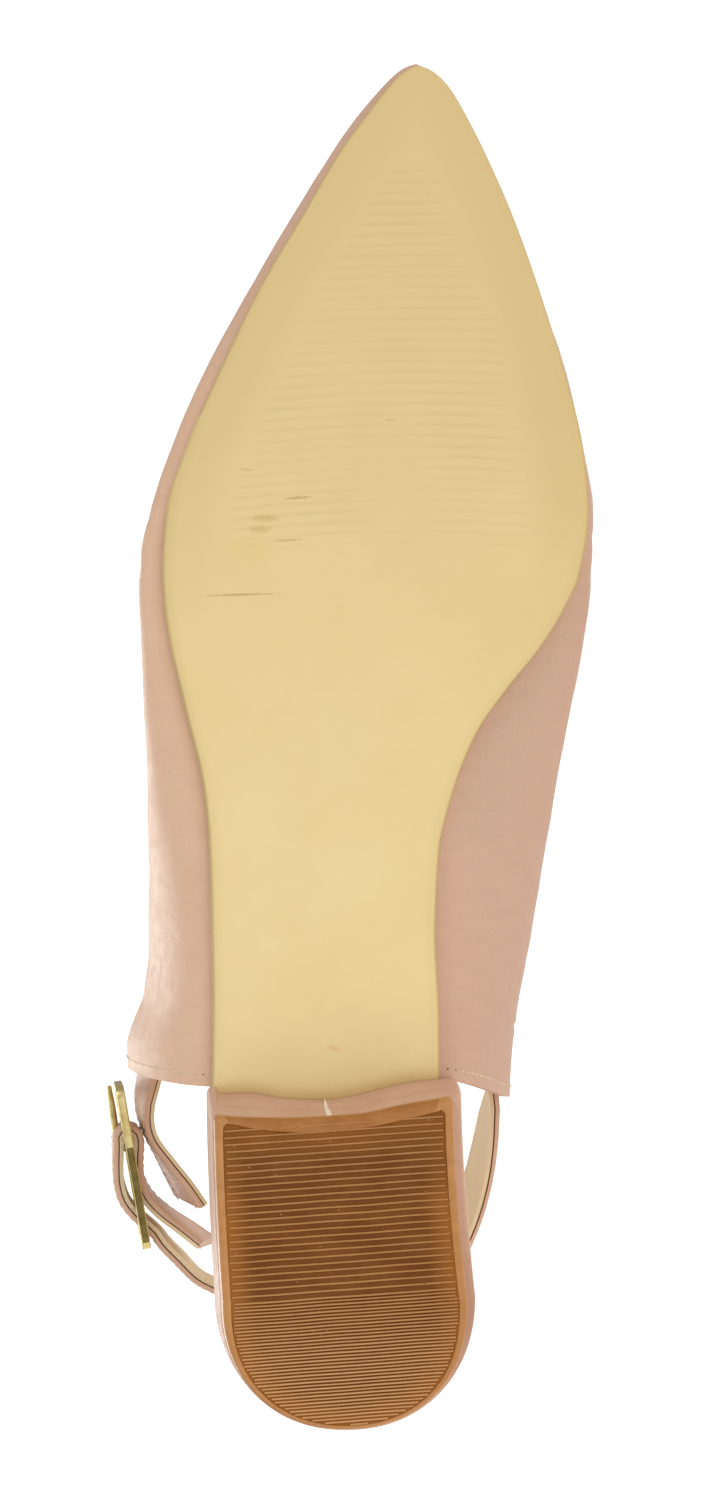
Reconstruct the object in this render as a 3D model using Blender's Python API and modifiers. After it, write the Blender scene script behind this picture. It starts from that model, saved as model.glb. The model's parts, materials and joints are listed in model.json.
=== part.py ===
import math

import bmesh
import bpy
import numpy as np
from mathutils import Matrix, Vector

# Right shoe with a pointed toe, a strap round the heel and a low block heel
# Shoe axes in millimetres: x to the outer side, y to the toe, z up from the ground
MM = 0.001

# Overall sizes
LENGTH = 273.0
BALL_WIDTH = 84.5
HEEL_RISE = 14.4
TOE_SPRING = 9.0
THROAT_HEIGHT = 40.0
ANKLE_HEIGHT = 82.0
COLLAR_HEIGHT = 44.0

# Layers of the bottom
GAP = 0.3
T_WALL = 1.8
T_SOLE = 3.0
T_INSOLE = 2.6
TOE_SETBACK = 1.5
FEATHER_INSET = 1.6
RIDGE_SETBACK = 2.6
MARGIN = 7.0
SOLE_ROUND = 0.7
EDGE_ROLL = 1.2
TIP_FACET = 0.35
INSOLE_SIDE = 1.0
INSOLE_EDGE = 0.9
TOE_SPARE = 1.2
TOE_BOARD_SPARE = 1.6
SEAT_REACH = 14.0

# Heel block and its wear piece
HEEL_RADIUS = 25.2
HEEL_CENTRE_X = -0.8
HEEL_SQUARE = 0.93
HEEL_BACK_SHARE = 1.02
HEEL_FRONT_HALF = 24.6
HEEL_FRONT_X = 1.4
HEEL_CORNER = 1.6
SEAT_CORNER = 4.5
HEEL_FLARE = 1.0
TOP_PIECE_HEIGHT = 3.8
TOP_PIECE_ROUND = 0.6
BREAST_LEAN = 4.0
FRONT_SKEW = -0.05
FRONT_SAG = 2.3
LIP = 2.1
HEEL_EDGE = 0.9
BREAST_REACH = 12.0

# Sole end and the quarters' back edges, from the heel's back
SOLE_END = 65.3
QUARTER_BACK_IN = 61.6
QUARTER_BACK_OUT = 67.9
THROAT_SHARE = 0.715

# Straps and buckle
STRAP_WIDTH = 11.0
T_STRAP = 1.8
STRAP_HEIGHT = 50.0
STRAP_BACK_RISE = 12.0
STRAP_LEAN = 2.8
STRAP_TUCK = 17.0
TUCK_AHEAD_IN = 3.0
TUCK_AHEAD_OUT = 1.0
STRAP_STEP = 2.6
STRAP_SPARE = 0.2
BUCKLE_LENGTH = 34.6
BUCKLE_BAR = 2.2
BUCKLE_RAIL = 2.0
BUCKLE_DEPTH = 1.8
CENTRE_BAR_AT = 11.6
CENTRE_BAR_WIDTH = 1.8
WINDOW_SPARE = 0.6
FRAME_CORNER = 2.6
WINDOW_CORNER = 0.9
EDGE_ROUND = 0.35
BUCKLE_OUT = 4.1
BUCKLE_BACK = 2.6
BUCKLE_TURN = 9.7
PRONG_RADIUS = 0.75
SLOT_SPARE = 0.5

# How the shoe lies on its inner side: toe lifted and sole leaning to the floor
TOE_LIFT = 9.3
SOLE_LEAN = 7.4

# Edge of the sole: share of the length, then outer and inner edge in shares of the ball width
SOLE_EDGE = [
    # along, outer, inner
    (1.000, -0.183, -0.183),
    (0.982, -0.103, -0.262),
    (0.966, -0.064, -0.291),
    (0.936, 0.006, -0.338),
    (0.891, 0.091, -0.399),
    (0.832, 0.202, -0.464),
    (0.773, 0.293, -0.520),
    (0.715, 0.374, -0.564),
    (0.672, 0.417, -0.576),
    (0.627, 0.428, -0.557),
    (0.598, 0.422, -0.517),
    (0.569, 0.407, -0.459),
    (0.540, 0.385, -0.385),
    (0.510, 0.361, -0.319),
    (0.481, 0.337, -0.279),
    (0.452, 0.322, -0.251),
    (0.422, 0.314, -0.232),
    (0.363, 0.307, -0.226),
    (0.303, 0.303, -0.237),
    (0.230, 0.304, -0.241),
]

# Widest line of the upper: share of the length, outer and inner in shares of the ball width
UPPER_EDGE = [
    # along, outer, inner
    (1.000, -0.184, -0.184),
    (0.979, -0.089, -0.268),
    (0.935, 0.020, -0.346),
    (0.890, 0.108, -0.407),
    (0.831, 0.220, -0.474),
    (0.772, 0.324, -0.535),
    (0.714, 0.405, -0.576),
    (0.670, 0.453, -0.598),
    (0.640, 0.475, -0.595),
    (0.611, 0.480, -0.591),
    (0.567, 0.472, -0.576),
    (0.523, 0.464, -0.553),
    (0.478, 0.454, -0.534),
    (0.433, 0.447, -0.523),
    (0.387, 0.440, -0.513),
    (0.341, 0.438, -0.501),
    (0.303, 0.453, -0.485),
    (0.264, 0.488, -0.471),
    (0.249, 0.486, -0.468),
    (0.200, 0.486, -0.464),
]

# Heights along the shoe: tread under the foot as a share of rise or spring
TREAD = [
    # along, share of the rise behind the ball, share of the spring ahead of it
    (0.000, 1.02, 0.00),
    (0.230, 1.00, 0.00),
    (0.300, 0.87, 0.00),
    (0.365, 0.69, 0.00),
    (0.440, 0.45, 0.00),
    (0.530, 0.17, 0.00),
    (0.605, 0.03, 0.00),
    (0.660, 0.00, 0.00),
    (0.735, 0.00, 0.03),
    (0.840, 0.00, 0.29),
    (0.935, 0.00, 0.68),
    (1.000, 0.00, 1.00),
]

# Widest height over the tread as a share of the collar, then the ridge's height:
# share of the throat's, and share of what the ankle stands above the throat
CROWN = [
    # along, widest, throat share, ankle share
    (0.200, 0.92, 1.0, 1.00),
    (0.260, 0.92, 1.0, 0.94),
    (0.340, 0.79, 1.0, 0.80),
    (0.400, 0.57, 1.0, 0.67),
    (0.450, 0.33, 1.0, 0.56),
    (0.520, 0.155, 1.0, 0.415),
    (0.580, 0.095, 1.0, 0.28),
    (0.640, 0.08, 1.0, 0.15),
    (0.690, 0.08, 1.0, 0.045),
    (0.715, 0.085, 0.99, 0.0),
    (0.760, 0.09, 0.895, 0.0),
    (0.830, 0.095, 0.72, 0.0),
    (0.900, 0.095, 0.565, 0.0),
    (0.950, 0.09, 0.44, 0.0),
    (1.000, 0.07, 0.265, 0.0),
]

# Opening behind the throat: way back from throat to quarter end, half width as a share of the wall's
OPENING = [
    (0.00, 0.00),
    (0.015, 0.24),
    (0.04, 0.38),
    (0.08, 0.51),
    (0.14, 0.63),
    (0.22, 0.73),
    (0.34, 0.82),
    (0.50, 0.885),
    (0.68, 0.925),
    (0.85, 0.952),
    (0.96, 0.965),
    (1.00, 0.975),
]

# Strap round the heel in shares of the heel radius from its centre, lean and rise as shares of the strap's
HEEL_LOOP = [
    # outward, forward, lean, rise
    (-1.35, 1.34, 0.40, 0.03),
    (-1.31, 1.02, 0.80, 0.15),
    (-1.25, 0.68, 1.00, 0.36),
    (-1.14, 0.31, 1.00, 0.60),
    (-0.91, -0.11, 0.90, 0.82),
    (-0.55, -0.48, 0.70, 0.95),
    (-0.12, -0.66, 0.50, 1.00),
    (0.30, -0.60, 0.40, 0.94),
    (0.66, -0.33, 0.30, 0.78),
    (0.90, -0.04, 0.15, 0.58),
]

# Outer layer at the buckle: way back from the centre bar as a share of the rear window,
# way out in strap thicknesses, rise as a share of the strap's
OUTER_LAYER = [
    # back, out, rise
    (1.538, -5.556, 0.37),
    (1.293, -3.444, 0.17),
    (1.106, -2.000, 0.06),
    (0.981, -1.278, 0.02),
    (0.875, -0.333, 0.0),
    (0.760, 0.722, 0.0),
    (0.620, 1.611, 0.0),
    (0.428, 1.944, 0.0),
    (0.236, 1.722, 0.0),
]

# Layer folded back under it, in the same shares, hidden end last
INNER_LAYER = [
    (0.188, -0.944),
    (0.404, -0.667),
    (0.596, -1.222),
    (0.788, -2.778),
    (0.981, -5.000),
    (1.173, -7.111),
]

# Front strap inside both: way back as a share of the buckle, cut end last
FRONT_LAYER = [
    (0.202, -2.889),
    (0.347, -2.778),
    (0.491, -3.333),
    (0.636, -4.333),
    (0.772, -5.667),
]


def smoothCurve(xs, ys):
    """Monotone cubic through the rows of a table."""
    order = np.argsort(xs)
    x = np.array(xs, float)[order]
    y = np.array(ys, float)[order]
    h = np.diff(x)
    d = np.diff(y) / h
    m = np.zeros(len(x))
    m[0], m[-1] = d[0], d[-1]
    for i in range(1, len(x) - 1):
        if d[i - 1] * d[i] > 0:
            w1 = 2 * h[i] + h[i - 1]
            w2 = h[i] + 2 * h[i - 1]
            m[i] = (w1 + w2) / (w1 / d[i - 1] + w2 / d[i])

    def value(at):
        at = min(max(at, x[0]), x[-1])
        i = min(int(np.searchsorted(x, at, side="right")) - 1, len(h) - 1)
        t = (at - x[i]) / h[i]
        a = (1 + 2 * t) * (1 - t) ** 2 * y[i] + t * t * (3 - 2 * t) * y[i + 1]
        return a + h[i] * (t * (1 - t) ** 2 * m[i] - t * t * (1 - t) * m[i + 1])

    return value


def tipCurve(rows, column):
    """Curve over a table whose width falls to nothing at the tip, smooth there."""
    inner = smoothCurve([math.sqrt(1 - r[0]) for r in rows], [r[column] for r in rows])
    return lambda share: inner(math.sqrt(max(0.0, 1 - share)))


soleTip = LENGTH - TOE_SETBACK
OUT, IN = 1, 2
soleCurve = {OUT: tipCurve(SOLE_EDGE, 1), IN: tipCurve(SOLE_EDGE, 2)}
upperCurve = {OUT: tipCurve(UPPER_EDGE, 1), IN: tipCurve(UPPER_EDGE, 2)}
riseCurve = smoothCurve([r[0] for r in TREAD], [r[1] for r in TREAD])
springCurve = smoothCurve([r[0] for r in TREAD], [r[2] for r in TREAD])
wideCurve = smoothCurve([r[0] for r in CROWN], [r[1] for r in CROWN])
throatCurve = smoothCurve([r[0] for r in CROWN], [r[2] for r in CROWN])
ankleCurve = smoothCurve([r[0] for r in CROWN], [r[3] for r in CROWN])
openCurve = smoothCurve([math.sqrt(r[0]) for r in OPENING], [r[1] for r in OPENING])


def sign(side):
    return 1 if side == OUT else -1


def soleX(side, y):
    return BALL_WIDTH * soleCurve[side](y / soleTip)


def treadZ(y):
    share = y / LENGTH
    return HEEL_RISE * riseCurve(share) + TOE_SPRING * springCurve(share)


def wallZ(y):
    """Height of the lasting margin's middle surface."""
    return treadZ(y) + T_SOLE + GAP + T_WALL / 2


def insoleZ(y):
    return wallZ(y) + T_WALL / 2 + GAP


def frontLine(x):
    return FRONT_SKEW * x + FRONT_SAG * (x / HEEL_FRONT_HALF) ** 2


wallTip = LENGTH - T_WALL / 2
featherTip = soleTip - FEATHER_INSET
throatY = LENGTH * THROAT_SHARE
backY = {OUT: QUARTER_BACK_OUT, IN: QUARTER_BACK_IN}


def featherPoint(side, y):
    x = BALL_WIDTH * soleCurve[side](y / featherTip) - sign(side) * FEATHER_INSET
    middle = BALL_WIDTH * soleCurve[side](1.0)
    if sign(side) * (x - middle) < 0:
        x = middle
    return Vector((x, y, wallZ(y)))


def widePoint(side, y):
    x = BALL_WIDTH * upperCurve[side](y / wallTip)
    middle = BALL_WIDTH * upperCurve[side](1.0)
    x = max(0.0, sign(side) * (x - middle) - T_WALL / 2) * sign(side) + middle
    return Vector((x, y, wallZ(y) + COLLAR_HEIGHT * wideCurve(y / LENGTH)))


def ridgePoint(y):
    share = y / LENGTH
    outer = widePoint(OUT, y)
    inner = widePoint(IN, y)
    height = THROAT_HEIGHT * throatCurve(share) + (ANKLE_HEIGHT - THROAT_HEIGHT) * ankleCurve(share)
    lift = TOE_SPRING * springCurve(share)
    return Vector(((outer.x + inner.x) / 2, y, height + lift))


CROWN_ROUND = 0.88


def lowerArc(low, wide, turn):
    k = math.sin(turn)
    z = low.z + (wide.z - low.z) * (1 - math.cos(turn))
    return Vector((low.x + (wide.x - low.x) * k, low.y + (wide.y - low.y) * k ** 1.6, z))


def upperArc(wide, ridge, turn):
    k = math.cos(turn) ** CROWN_ROUND if turn < math.pi / 2 - 1e-9 else 0.0
    z = wide.z + (ridge.z - wide.z) * math.sin(turn) ** CROWN_ROUND
    return Vector((ridge.x + (wide.x - ridge.x) * k, ridge.y + (wide.y - ridge.y) * k, z))


def wallX(side, y, z):
    """Middle of the wall at a height, for what lies against it."""
    low = featherPoint(side, y)
    wide = widePoint(side, y)
    ridge = ridgePoint(y)
    if z < wide.z:
        turn = math.acos(max(0.0, 1 - (z - low.z) / (wide.z - low.z)))
        return lowerArc(low, wide, turn).x
    lift = min(1.0, (z - wide.z) / (ridge.z - wide.z)) ** (1 / CROWN_ROUND)
    return upperArc(wide, ridge, math.asin(lift)).x


def clearScene():
    for o in list(bpy.data.objects):
        bpy.data.objects.remove(o, do_unlink=True)


clearScene()
shoe = bpy.data.collections.new("slingback_shoe")
cutters = bpy.data.collections.new("shoe_cutters")
bpy.context.scene.collection.children.link(shoe)
bpy.context.scene.collection.children.link(cutters)
cutters.hide_render = True


def material(name, colour, roughness, metallic=0.0):
    m = bpy.data.materials.new(name)
    m.use_nodes = True
    shader = m.node_tree.nodes["Principled BSDF"]
    shader.inputs["Base Color"].default_value = (*colour, 1)
    shader.inputs["Roughness"].default_value = roughness
    shader.inputs["Metallic"].default_value = metallic
    m.diffuse_color = (*colour, 1)
    return m


looks = {
    "outsole": material("sole_cream", (0.74, 0.60, 0.30), 0.45),
    "insole": material("insole_beige", (0.76, 0.58, 0.36), 0.6),
    "upper": material("upper_pink", (0.68, 0.45, 0.33), 0.5),
    "heel": material("heel_pink", (0.62, 0.38, 0.26), 0.5),
    "top_piece": material("wear_brown", (0.32, 0.13, 0.03), 0.5),
    "heel_strap": material("strap_pink", (0.66, 0.43, 0.31), 0.5),
    "front_strap": material("front_strap_pink", (0.66, 0.43, 0.31), 0.5),
    "buckle_frame": material("buckle_gilt", (0.72, 0.55, 0.22), 0.25, 1.0),
    "buckle_prong": material("prong_gilt", (0.72, 0.55, 0.22), 0.25, 1.0),
}


def solidFrom(name, points, faces, collection=shoe):
    """Mesh object from millimetre points, with doubles welded and normals outward."""
    mesh = bpy.data.meshes.new(name)
    mesh.from_pydata([tuple(c * MM for c in p) for p in points], [], faces)
    bm = bmesh.new()
    bm.from_mesh(mesh)
    bmesh.ops.remove_doubles(bm, verts=bm.verts, dist=1e-6)
    bmesh.ops.dissolve_degenerate(bm, dist=1e-6, edges=bm.edges)
    bmesh.ops.recalc_face_normals(bm, faces=bm.faces)
    bm.to_mesh(mesh)
    bm.free()
    o = bpy.data.objects.new(name, mesh)
    collection.objects.link(o)
    if name in looks:
        mesh.materials.append(looks[name])
    return o


def gridFaces(rows, columns, start=0, closed=False):
    faces = []
    for i in range(rows - 1):
        for j in range(columns if closed else columns - 1):
            k = (j + 1) % columns
            a = start + i * columns
            faces.append((a + j, a + k, a + columns + k, a + columns + j))
    return faces


def ringLoft(name, rings):
    """Closed solid through rings of equal count, capped at both ends."""
    n = len(rings[0])
    points = [p for ring in rings for p in ring]
    faces = gridFaces(len(rings), n, closed=True)
    faces.append(tuple(reversed(range(n))))
    faces.append(tuple(range((len(rings) - 1) * n, len(rings) * n)))
    return solidFrom(name, points, faces)


# Outsole: crosswise rings from the toe to the heel breast
def soleRing(y, back):
    low = []
    high = []
    outer = soleX(OUT, y)
    inner = soleX(IN, y)
    half = (outer - inner) / 2
    roll = min(EDGE_ROLL, half * 0.3)
    stops = [0.0, roll / (2 * half), 0.25, 0.5, 0.75, 1 - roll / (2 * half), 1.0]
    lift = min(SOLE_ROUND, half * 0.2)
    for i, stop in enumerate(stops):
        x = outer + (inner - outer) * stop
        at = y + back * (frontLine(x))
        z = treadZ(at)
        edge = lift if i in (0, len(stops) - 1) else 0.0
        low.append(Vector((x, at, z + edge)))
        high.append(Vector((x, at, z + T_SOLE)))
    return low + list(reversed(high))


rings = []
SOLE_STATIONS = 34
for i in range(SOLE_STATIONS + 1):
    t = i / SOLE_STATIONS
    y = soleTip - TIP_FACET - (soleTip - TIP_FACET - SOLE_END) * (0.45 * t * t + 0.55 * t)
    if i == 0:
        y = soleTip - TIP_FACET / 7
    back = max(0.0, 1 - (y - SOLE_END) / BREAST_REACH)
    rings.append(soleRing(y, back))
ringLoft("outsole", rings)

# Heel block and wear piece from one outline
HEEL_SIDE_STEPS = 5
HEEL_ARC_STEPS = 22
HEEL_FRONT_STEPS = 12


def heelRing(grow, front, zAt, hollow=1.0, corner=HEEL_CORNER):
    """Outline of the heel, widened by grow, with its front edge at a distance from the back."""
    cx = HEEL_CENTRE_X
    cy = HEEL_RADIUS
    r = HEEL_RADIUS + grow
    outX = HEEL_FRONT_X + HEEL_FRONT_HALF + grow
    inX = HEEL_FRONT_X - HEEL_FRONT_HALF - grow
    yOut = front + hollow * frontLine(outX)
    yIn = front + hollow * frontLine(inX)
    ring = []
    for i in range(HEEL_SIDE_STEPS):
        t = i / HEEL_SIDE_STEPS
        y = yOut - corner + (cy - yOut + corner) * t
        ring.append((outX + (cx + r - outX) * t ** 1.6, y))
    for i in range(HEEL_ARC_STEPS + 1):
        a = math.pi * i / HEEL_ARC_STEPS
        wide = math.copysign(abs(math.cos(a)) ** HEEL_SQUARE, math.cos(a))
        ring.append((cx + r * wide, cy - r * HEEL_BACK_SHARE * max(0.0, math.sin(a)) ** HEEL_SQUARE))
    for i in range(1, HEEL_SIDE_STEPS + 1):
        t = 1 - i / HEEL_SIDE_STEPS
        y = yIn - corner + (cy - yIn + corner) * t
        ring.append((inX + (cx - r - inX) * t ** 1.6, y))
    for i in range(HEEL_FRONT_STEPS + 1):
        t = i / HEEL_FRONT_STEPS
        x = inX + corner + (outX - inX - 2 * corner) * t
        ring.append((x, front + hollow * frontLine(x)))
    return [Vector((x, y, zAt(y) if callable(zAt) else zAt)) for x, y in ring]


topFront = SOLE_END - BREAST_LEAN
ringLoft(
    "top_piece",
    [
        heelRing(-TOP_PIECE_ROUND, topFront - LIP, 0.0, hollow=1.3),
        heelRing(-TOP_PIECE_ROUND / 4, topFront - LIP / 4, TOP_PIECE_ROUND),
        heelRing(0.0, topFront, TOP_PIECE_ROUND * 2.5),
        heelRing(0.0, topFront, TOP_PIECE_HEIGHT),
    ],
)
blockBase = TOP_PIECE_HEIGHT + GAP
breastTop = SOLE_END - GAP
seatZ = lambda y: insoleZ(y) - GAP
ringLoft(
    "heel",
    [
        heelRing(HEEL_EDGE * 0.2, topFront, blockBase),
        heelRing(HEEL_EDGE * 0.6, topFront + HEEL_EDGE, blockBase + HEEL_EDGE),
        heelRing(HEEL_FLARE * 0.75, topFront + BREAST_LEAN * 0.62, blockBase + (HEEL_RISE - blockBase) * 0.62),
        heelRing(HEEL_FLARE, breastTop, lambda y: treadZ(y) - GAP, corner=SEAT_CORNER * 0.7),
        heelRing(HEEL_FLARE, breastTop, seatZ, corner=SEAT_CORNER),
    ],
)


# Insole: board over margin and heel, its edge rounded
def insoleEdge(side, y, inset):
    ahead = min(1.0, max(0.0, (y - SOLE_END) / (LENGTH * 0.22))) * (inset + TOE_SPARE)
    sole = featherPoint(side, min(y + ahead, featherTip)).x - sign(side) * inset
    seatR = HEEL_RADIUS + HEEL_FLARE - inset
    if y < HEEL_RADIUS:
        back = min(1.0, (HEEL_RADIUS - y) / (seatR * HEEL_BACK_SHARE)) ** (1 / HEEL_SQUARE)
        seat = HEEL_CENTRE_X + sign(side) * seatR * math.sqrt(max(0.0, 1 - back * back)) ** HEEL_SQUARE
    else:
        t = min(1.0, (y - HEEL_RADIUS) / (SOLE_END - HEEL_RADIUS))
        rear = HEEL_CENTRE_X + sign(side) * seatR
        fore = HEEL_FRONT_X + sign(side) * (HEEL_FRONT_HALF + HEEL_FLARE - inset)
        seat = rear + (fore - rear) * t
    blend = min(1.0, max(0.0, (y - SOLE_END) / SEAT_REACH + 1))
    blend = blend * blend * (3 - 2 * blend)
    return seat + (sole - seat) * blend


insoleTip = featherTip - INSOLE_SIDE - TOE_SPARE - TOE_BOARD_SPARE
insoleBack = HEEL_RADIUS - (HEEL_RADIUS + HEEL_FLARE - INSOLE_SIDE) * HEEL_BACK_SHARE
rings = []
INSOLE_STATIONS = 44
for i in range(INSOLE_STATIONS + 1):
    a = math.pi * i / INSOLE_STATIONS
    y = insoleBack + (insoleTip - insoleBack) * (1 + math.cos(a)) / 2
    if i == 0:
        y = insoleTip - TIP_FACET / 7
    if i == INSOLE_STATIONS:
        y = insoleBack + TIP_FACET / 7
    low = []
    high = []
    outer = insoleEdge(OUT, y, INSOLE_SIDE)
    inner = insoleEdge(IN, y, INSOLE_SIDE)
    middle = (outer + inner) / 2
    half = max((outer - inner) / 2, TIP_FACET)
    bevel = min(INSOLE_EDGE, half * 0.4)
    z = insoleZ(y)
    for k, stop in enumerate((1.0, 0.55, 0.0, -0.55, -1.0)):
        low.append(Vector((middle + half * stop, y, z)))
    edgeIn = [half - bevel, half * 0.5, 0.0, -half * 0.5, -half + bevel]
    high = [Vector((middle - half, y, z + T_INSOLE - bevel * 0.7))]
    high += [Vector((middle - e, y, z + T_INSOLE)) for e in edgeIn]
    high += [Vector((middle + half, y, z + T_INSOLE - bevel * 0.7))]
    rings.append(low + high)
ringLoft("insole", rings)

# Upper: middle surface from the turned margin over the widest line to ridge or topline
TIP_STATIONS = 15
BACK_STATIONS = 28
LOW_STEPS = 5
HIGH_STEPS = 6
SLIT_STATION = 4


def stationY(i, tip, back):
    if i <= TIP_STATIONS:
        t = i / TIP_STATIONS
        return tip - (tip - throatY) * (0.62 * t * t + 0.38 * t)
    return throatY - (throatY - back) * behindThroat(i)


def behindThroat(i):
    """Share of the way from throat to back edge, closer spaced at both ends."""
    t = max(0.0, (i - TIP_STATIONS) / BACK_STATIONS)
    return 0.45 * t + 0.55 * t * t * (3 - 2 * t)


def soleEndAt(side):
    x = soleX(side, SOLE_END)
    return SOLE_END + frontLine(x) + GAP


points = []
columns = 3 + LOW_STEPS + HIGH_STEPS
for side in (OUT, IN):
    for i in range(TIP_STATIONS + BACK_STATIONS + 1):
        low = featherPoint(side, stationY(i, featherTip, soleEndAt(side)))
        wide = widePoint(side, stationY(i, wallTip, backY[side]))
        ridge = ridgePoint(stationY(i, wallTip - RIDGE_SETBACK, backY[side]))
        middle = BALL_WIDTH * soleCurve[side](1.0) if i == 0 else (
            featherPoint(OUT, low.y).x + featherPoint(IN, low.y).x
        ) / 2
        turnIn = abs(low.x - middle) if i <= SLIT_STATION else min(MARGIN, 0.62 * abs(low.x - middle))
        end = Vector((low.x - sign(side) * turnIn, low.y, low.z))
        column = [end, low.lerp(end, 0.5)]
        for j in range(LOW_STEPS + 1):
            column.append(lowerArc(low, wide, math.pi / 2 * j / LOW_STEPS))
        share = openCurve(math.sqrt(behindThroat(i)))
        last = math.acos(share ** (1 / CROWN_ROUND)) if share > 0 else math.pi / 2
        for j in range(1, HIGH_STEPS + 1):
            column.append(upperArc(wide, ridge, last * j / HIGH_STEPS))
        points += column
stations = TIP_STATIONS + BACK_STATIONS + 1
faces = gridFaces(stations, columns) + gridFaces(stations, columns, start=stations * columns)
upper = solidFrom("upper", points, faces)
wall = upper.modifiers.new("wall", "SOLIDIFY")
wall.thickness = T_WALL * MM
wall.offset = 0
wall.use_even_offset = True
wall.thickness_clamp = 0.0


# Buckle place: front end just outside the outer quarter's back edge
buckleFront = Vector((
    widePoint(OUT, QUARTER_BACK_OUT).x + BUCKLE_OUT - T_STRAP / 2,
    QUARTER_BACK_OUT - BUCKLE_BACK,
    STRAP_HEIGHT,
))
turn = math.radians(BUCKLE_TURN)
alongBuckle = Vector((-math.sin(turn), -math.cos(turn), 0))
outOfBuckle = Vector((math.cos(turn), -math.sin(turn), 0))


def atBuckle(back, out):
    p = buckleFront + alongBuckle * back + outOfBuckle * out
    return (p.x, p.y)


def throughPoints(path, step):
    """Evenly stepped curve through the path's points, with extra columns carried along."""
    p = np.array(path, float)
    dist = np.concatenate([[0], np.cumsum(np.hypot(*np.diff(p[:, :2], axis=0).T))])
    tangent = np.gradient(p, dist, axis=0)
    out = []
    for i in range(len(p) - 1):
        h = dist[i + 1] - dist[i]
        n = max(1, int(round(h / step)))
        for k in range(n):
            t = k / n
            a = (1 + 2 * t) * (1 - t) ** 2 * p[i] + t * t * (3 - 2 * t) * p[i + 1]
            out.append(a + h * (t * (1 - t) ** 2 * tangent[i] - t * t * (1 - t) * tangent[i + 1]))
    out.append(p[-1])
    return out


def ribbon(name, stations, thickness):
    """Strap along pairs of lower and upper edge points, thickened both ways."""
    points = []
    for low, high in stations:
        points += [low, (Vector(low) + Vector(high)) / 2, high]
    o = solidFrom(name, points, gridFaces(len(stations), 3))
    m = o.modifiers.new("thickness", "SOLIDIFY")
    m.thickness = thickness * MM
    m.offset = 0
    m.use_even_offset = True
    return o


def againstWall(side, y, z):
    """Edge pair of a strap lying inside the quarter."""
    inset = T_WALL / 2 + GAP + T_STRAP / 2 + STRAP_SPARE
    pair = []
    for h in (z - STRAP_WIDTH / 2, z + STRAP_WIDTH / 2):
        slope = (wallX(side, y, h + 0.5) - wallX(side, y, h - 0.5))
        x = wallX(side, y, h) - sign(side) * inset * math.hypot(1, slope)
        pair.append(Vector((x, y, h)))
    return pair


def edgePair(x, y, z, lean):
    """Lean is how far the top edge stands further in than the lower one, toward the heel's middle line."""
    toward = Vector((HEEL_CENTRE_X - x, HEEL_RADIUS * 1.2 - y, 0)).normalized() * lean / 2
    low = Vector((x, y, z - STRAP_WIDTH / 2)) - toward
    high = Vector((x, y, z + STRAP_WIDTH / 2)) + toward
    return [low, high]


def blendPairs(wallPairs, path):
    """Stations inside the quarter, then the free run."""
    stations = list(wallPairs)
    for x, y, z, lean in path:
        stations.append(edgePair(x, y, z, lean))
    return stations


# Heel strap: from inside the inner quarter round the heel, over the centre bar and back inside
tuckIn = [
    againstWall(IN, QUARTER_BACK_IN + TUCK_AHEAD_IN + STRAP_TUCK * t, STRAP_HEIGHT)
    for t in (1.0, 0.8, 0.6, 0.4, 0.2, 0.0)
]
free = []
for out, forward, lean, rise in HEEL_LOOP:
    free.append((
        HEEL_CENTRE_X + out * HEEL_RADIUS,
        HEEL_RADIUS + forward * HEEL_RADIUS,
        STRAP_HEIGHT + STRAP_BACK_RISE * rise,
        STRAP_LEAN * lean,
    ))
rearWindow = BUCKLE_LENGTH - BUCKLE_BAR - CENTRE_BAR_AT
for back, out, rise in OUTER_LAYER:
    x, y = atBuckle(CENTRE_BAR_AT + back * rearWindow, out * T_STRAP)
    free.append((x, y, STRAP_HEIGHT + STRAP_BACK_RISE * rise, 0.0))
foldRadius = T_STRAP / 2 + CENTRE_BAR_WIDTH / 2 + 2 * GAP
for i in range(7):
    a = math.radians(80 + 200 * i / 6)
    x, y = atBuckle(CENTRE_BAR_AT + foldRadius * math.cos(a), foldRadius * math.sin(a))
    free.append((x, y, STRAP_HEIGHT, 0.0))
for back, out in INNER_LAYER:
    x, y = atBuckle(CENTRE_BAR_AT + back * rearWindow, out * T_STRAP)
    free.append((x, y, STRAP_HEIGHT, 0.0))
smooth = throughPoints(free, STRAP_STEP)
heelStrap = ribbon("heel_strap", blendPairs(tuckIn, smooth), T_STRAP)

# Front strap: from inside the outer quarter past the buckle's inner side to its cut end
tuckOut = [
    againstWall(OUT, QUARTER_BACK_OUT + TUCK_AHEAD_OUT + STRAP_TUCK * t, STRAP_HEIGHT)
    for t in (1.0, 0.8, 0.6, 0.4, 0.2, 0.0)
]
path = []
for back, out in FRONT_LAYER:
    x, y = atBuckle(back * BUCKLE_LENGTH, out * T_STRAP)
    path.append((x, y, STRAP_HEIGHT, 0.0))
frontStrap = ribbon("front_strap", blendPairs(tuckOut, throughPoints(path, STRAP_STEP)), T_STRAP)


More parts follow.
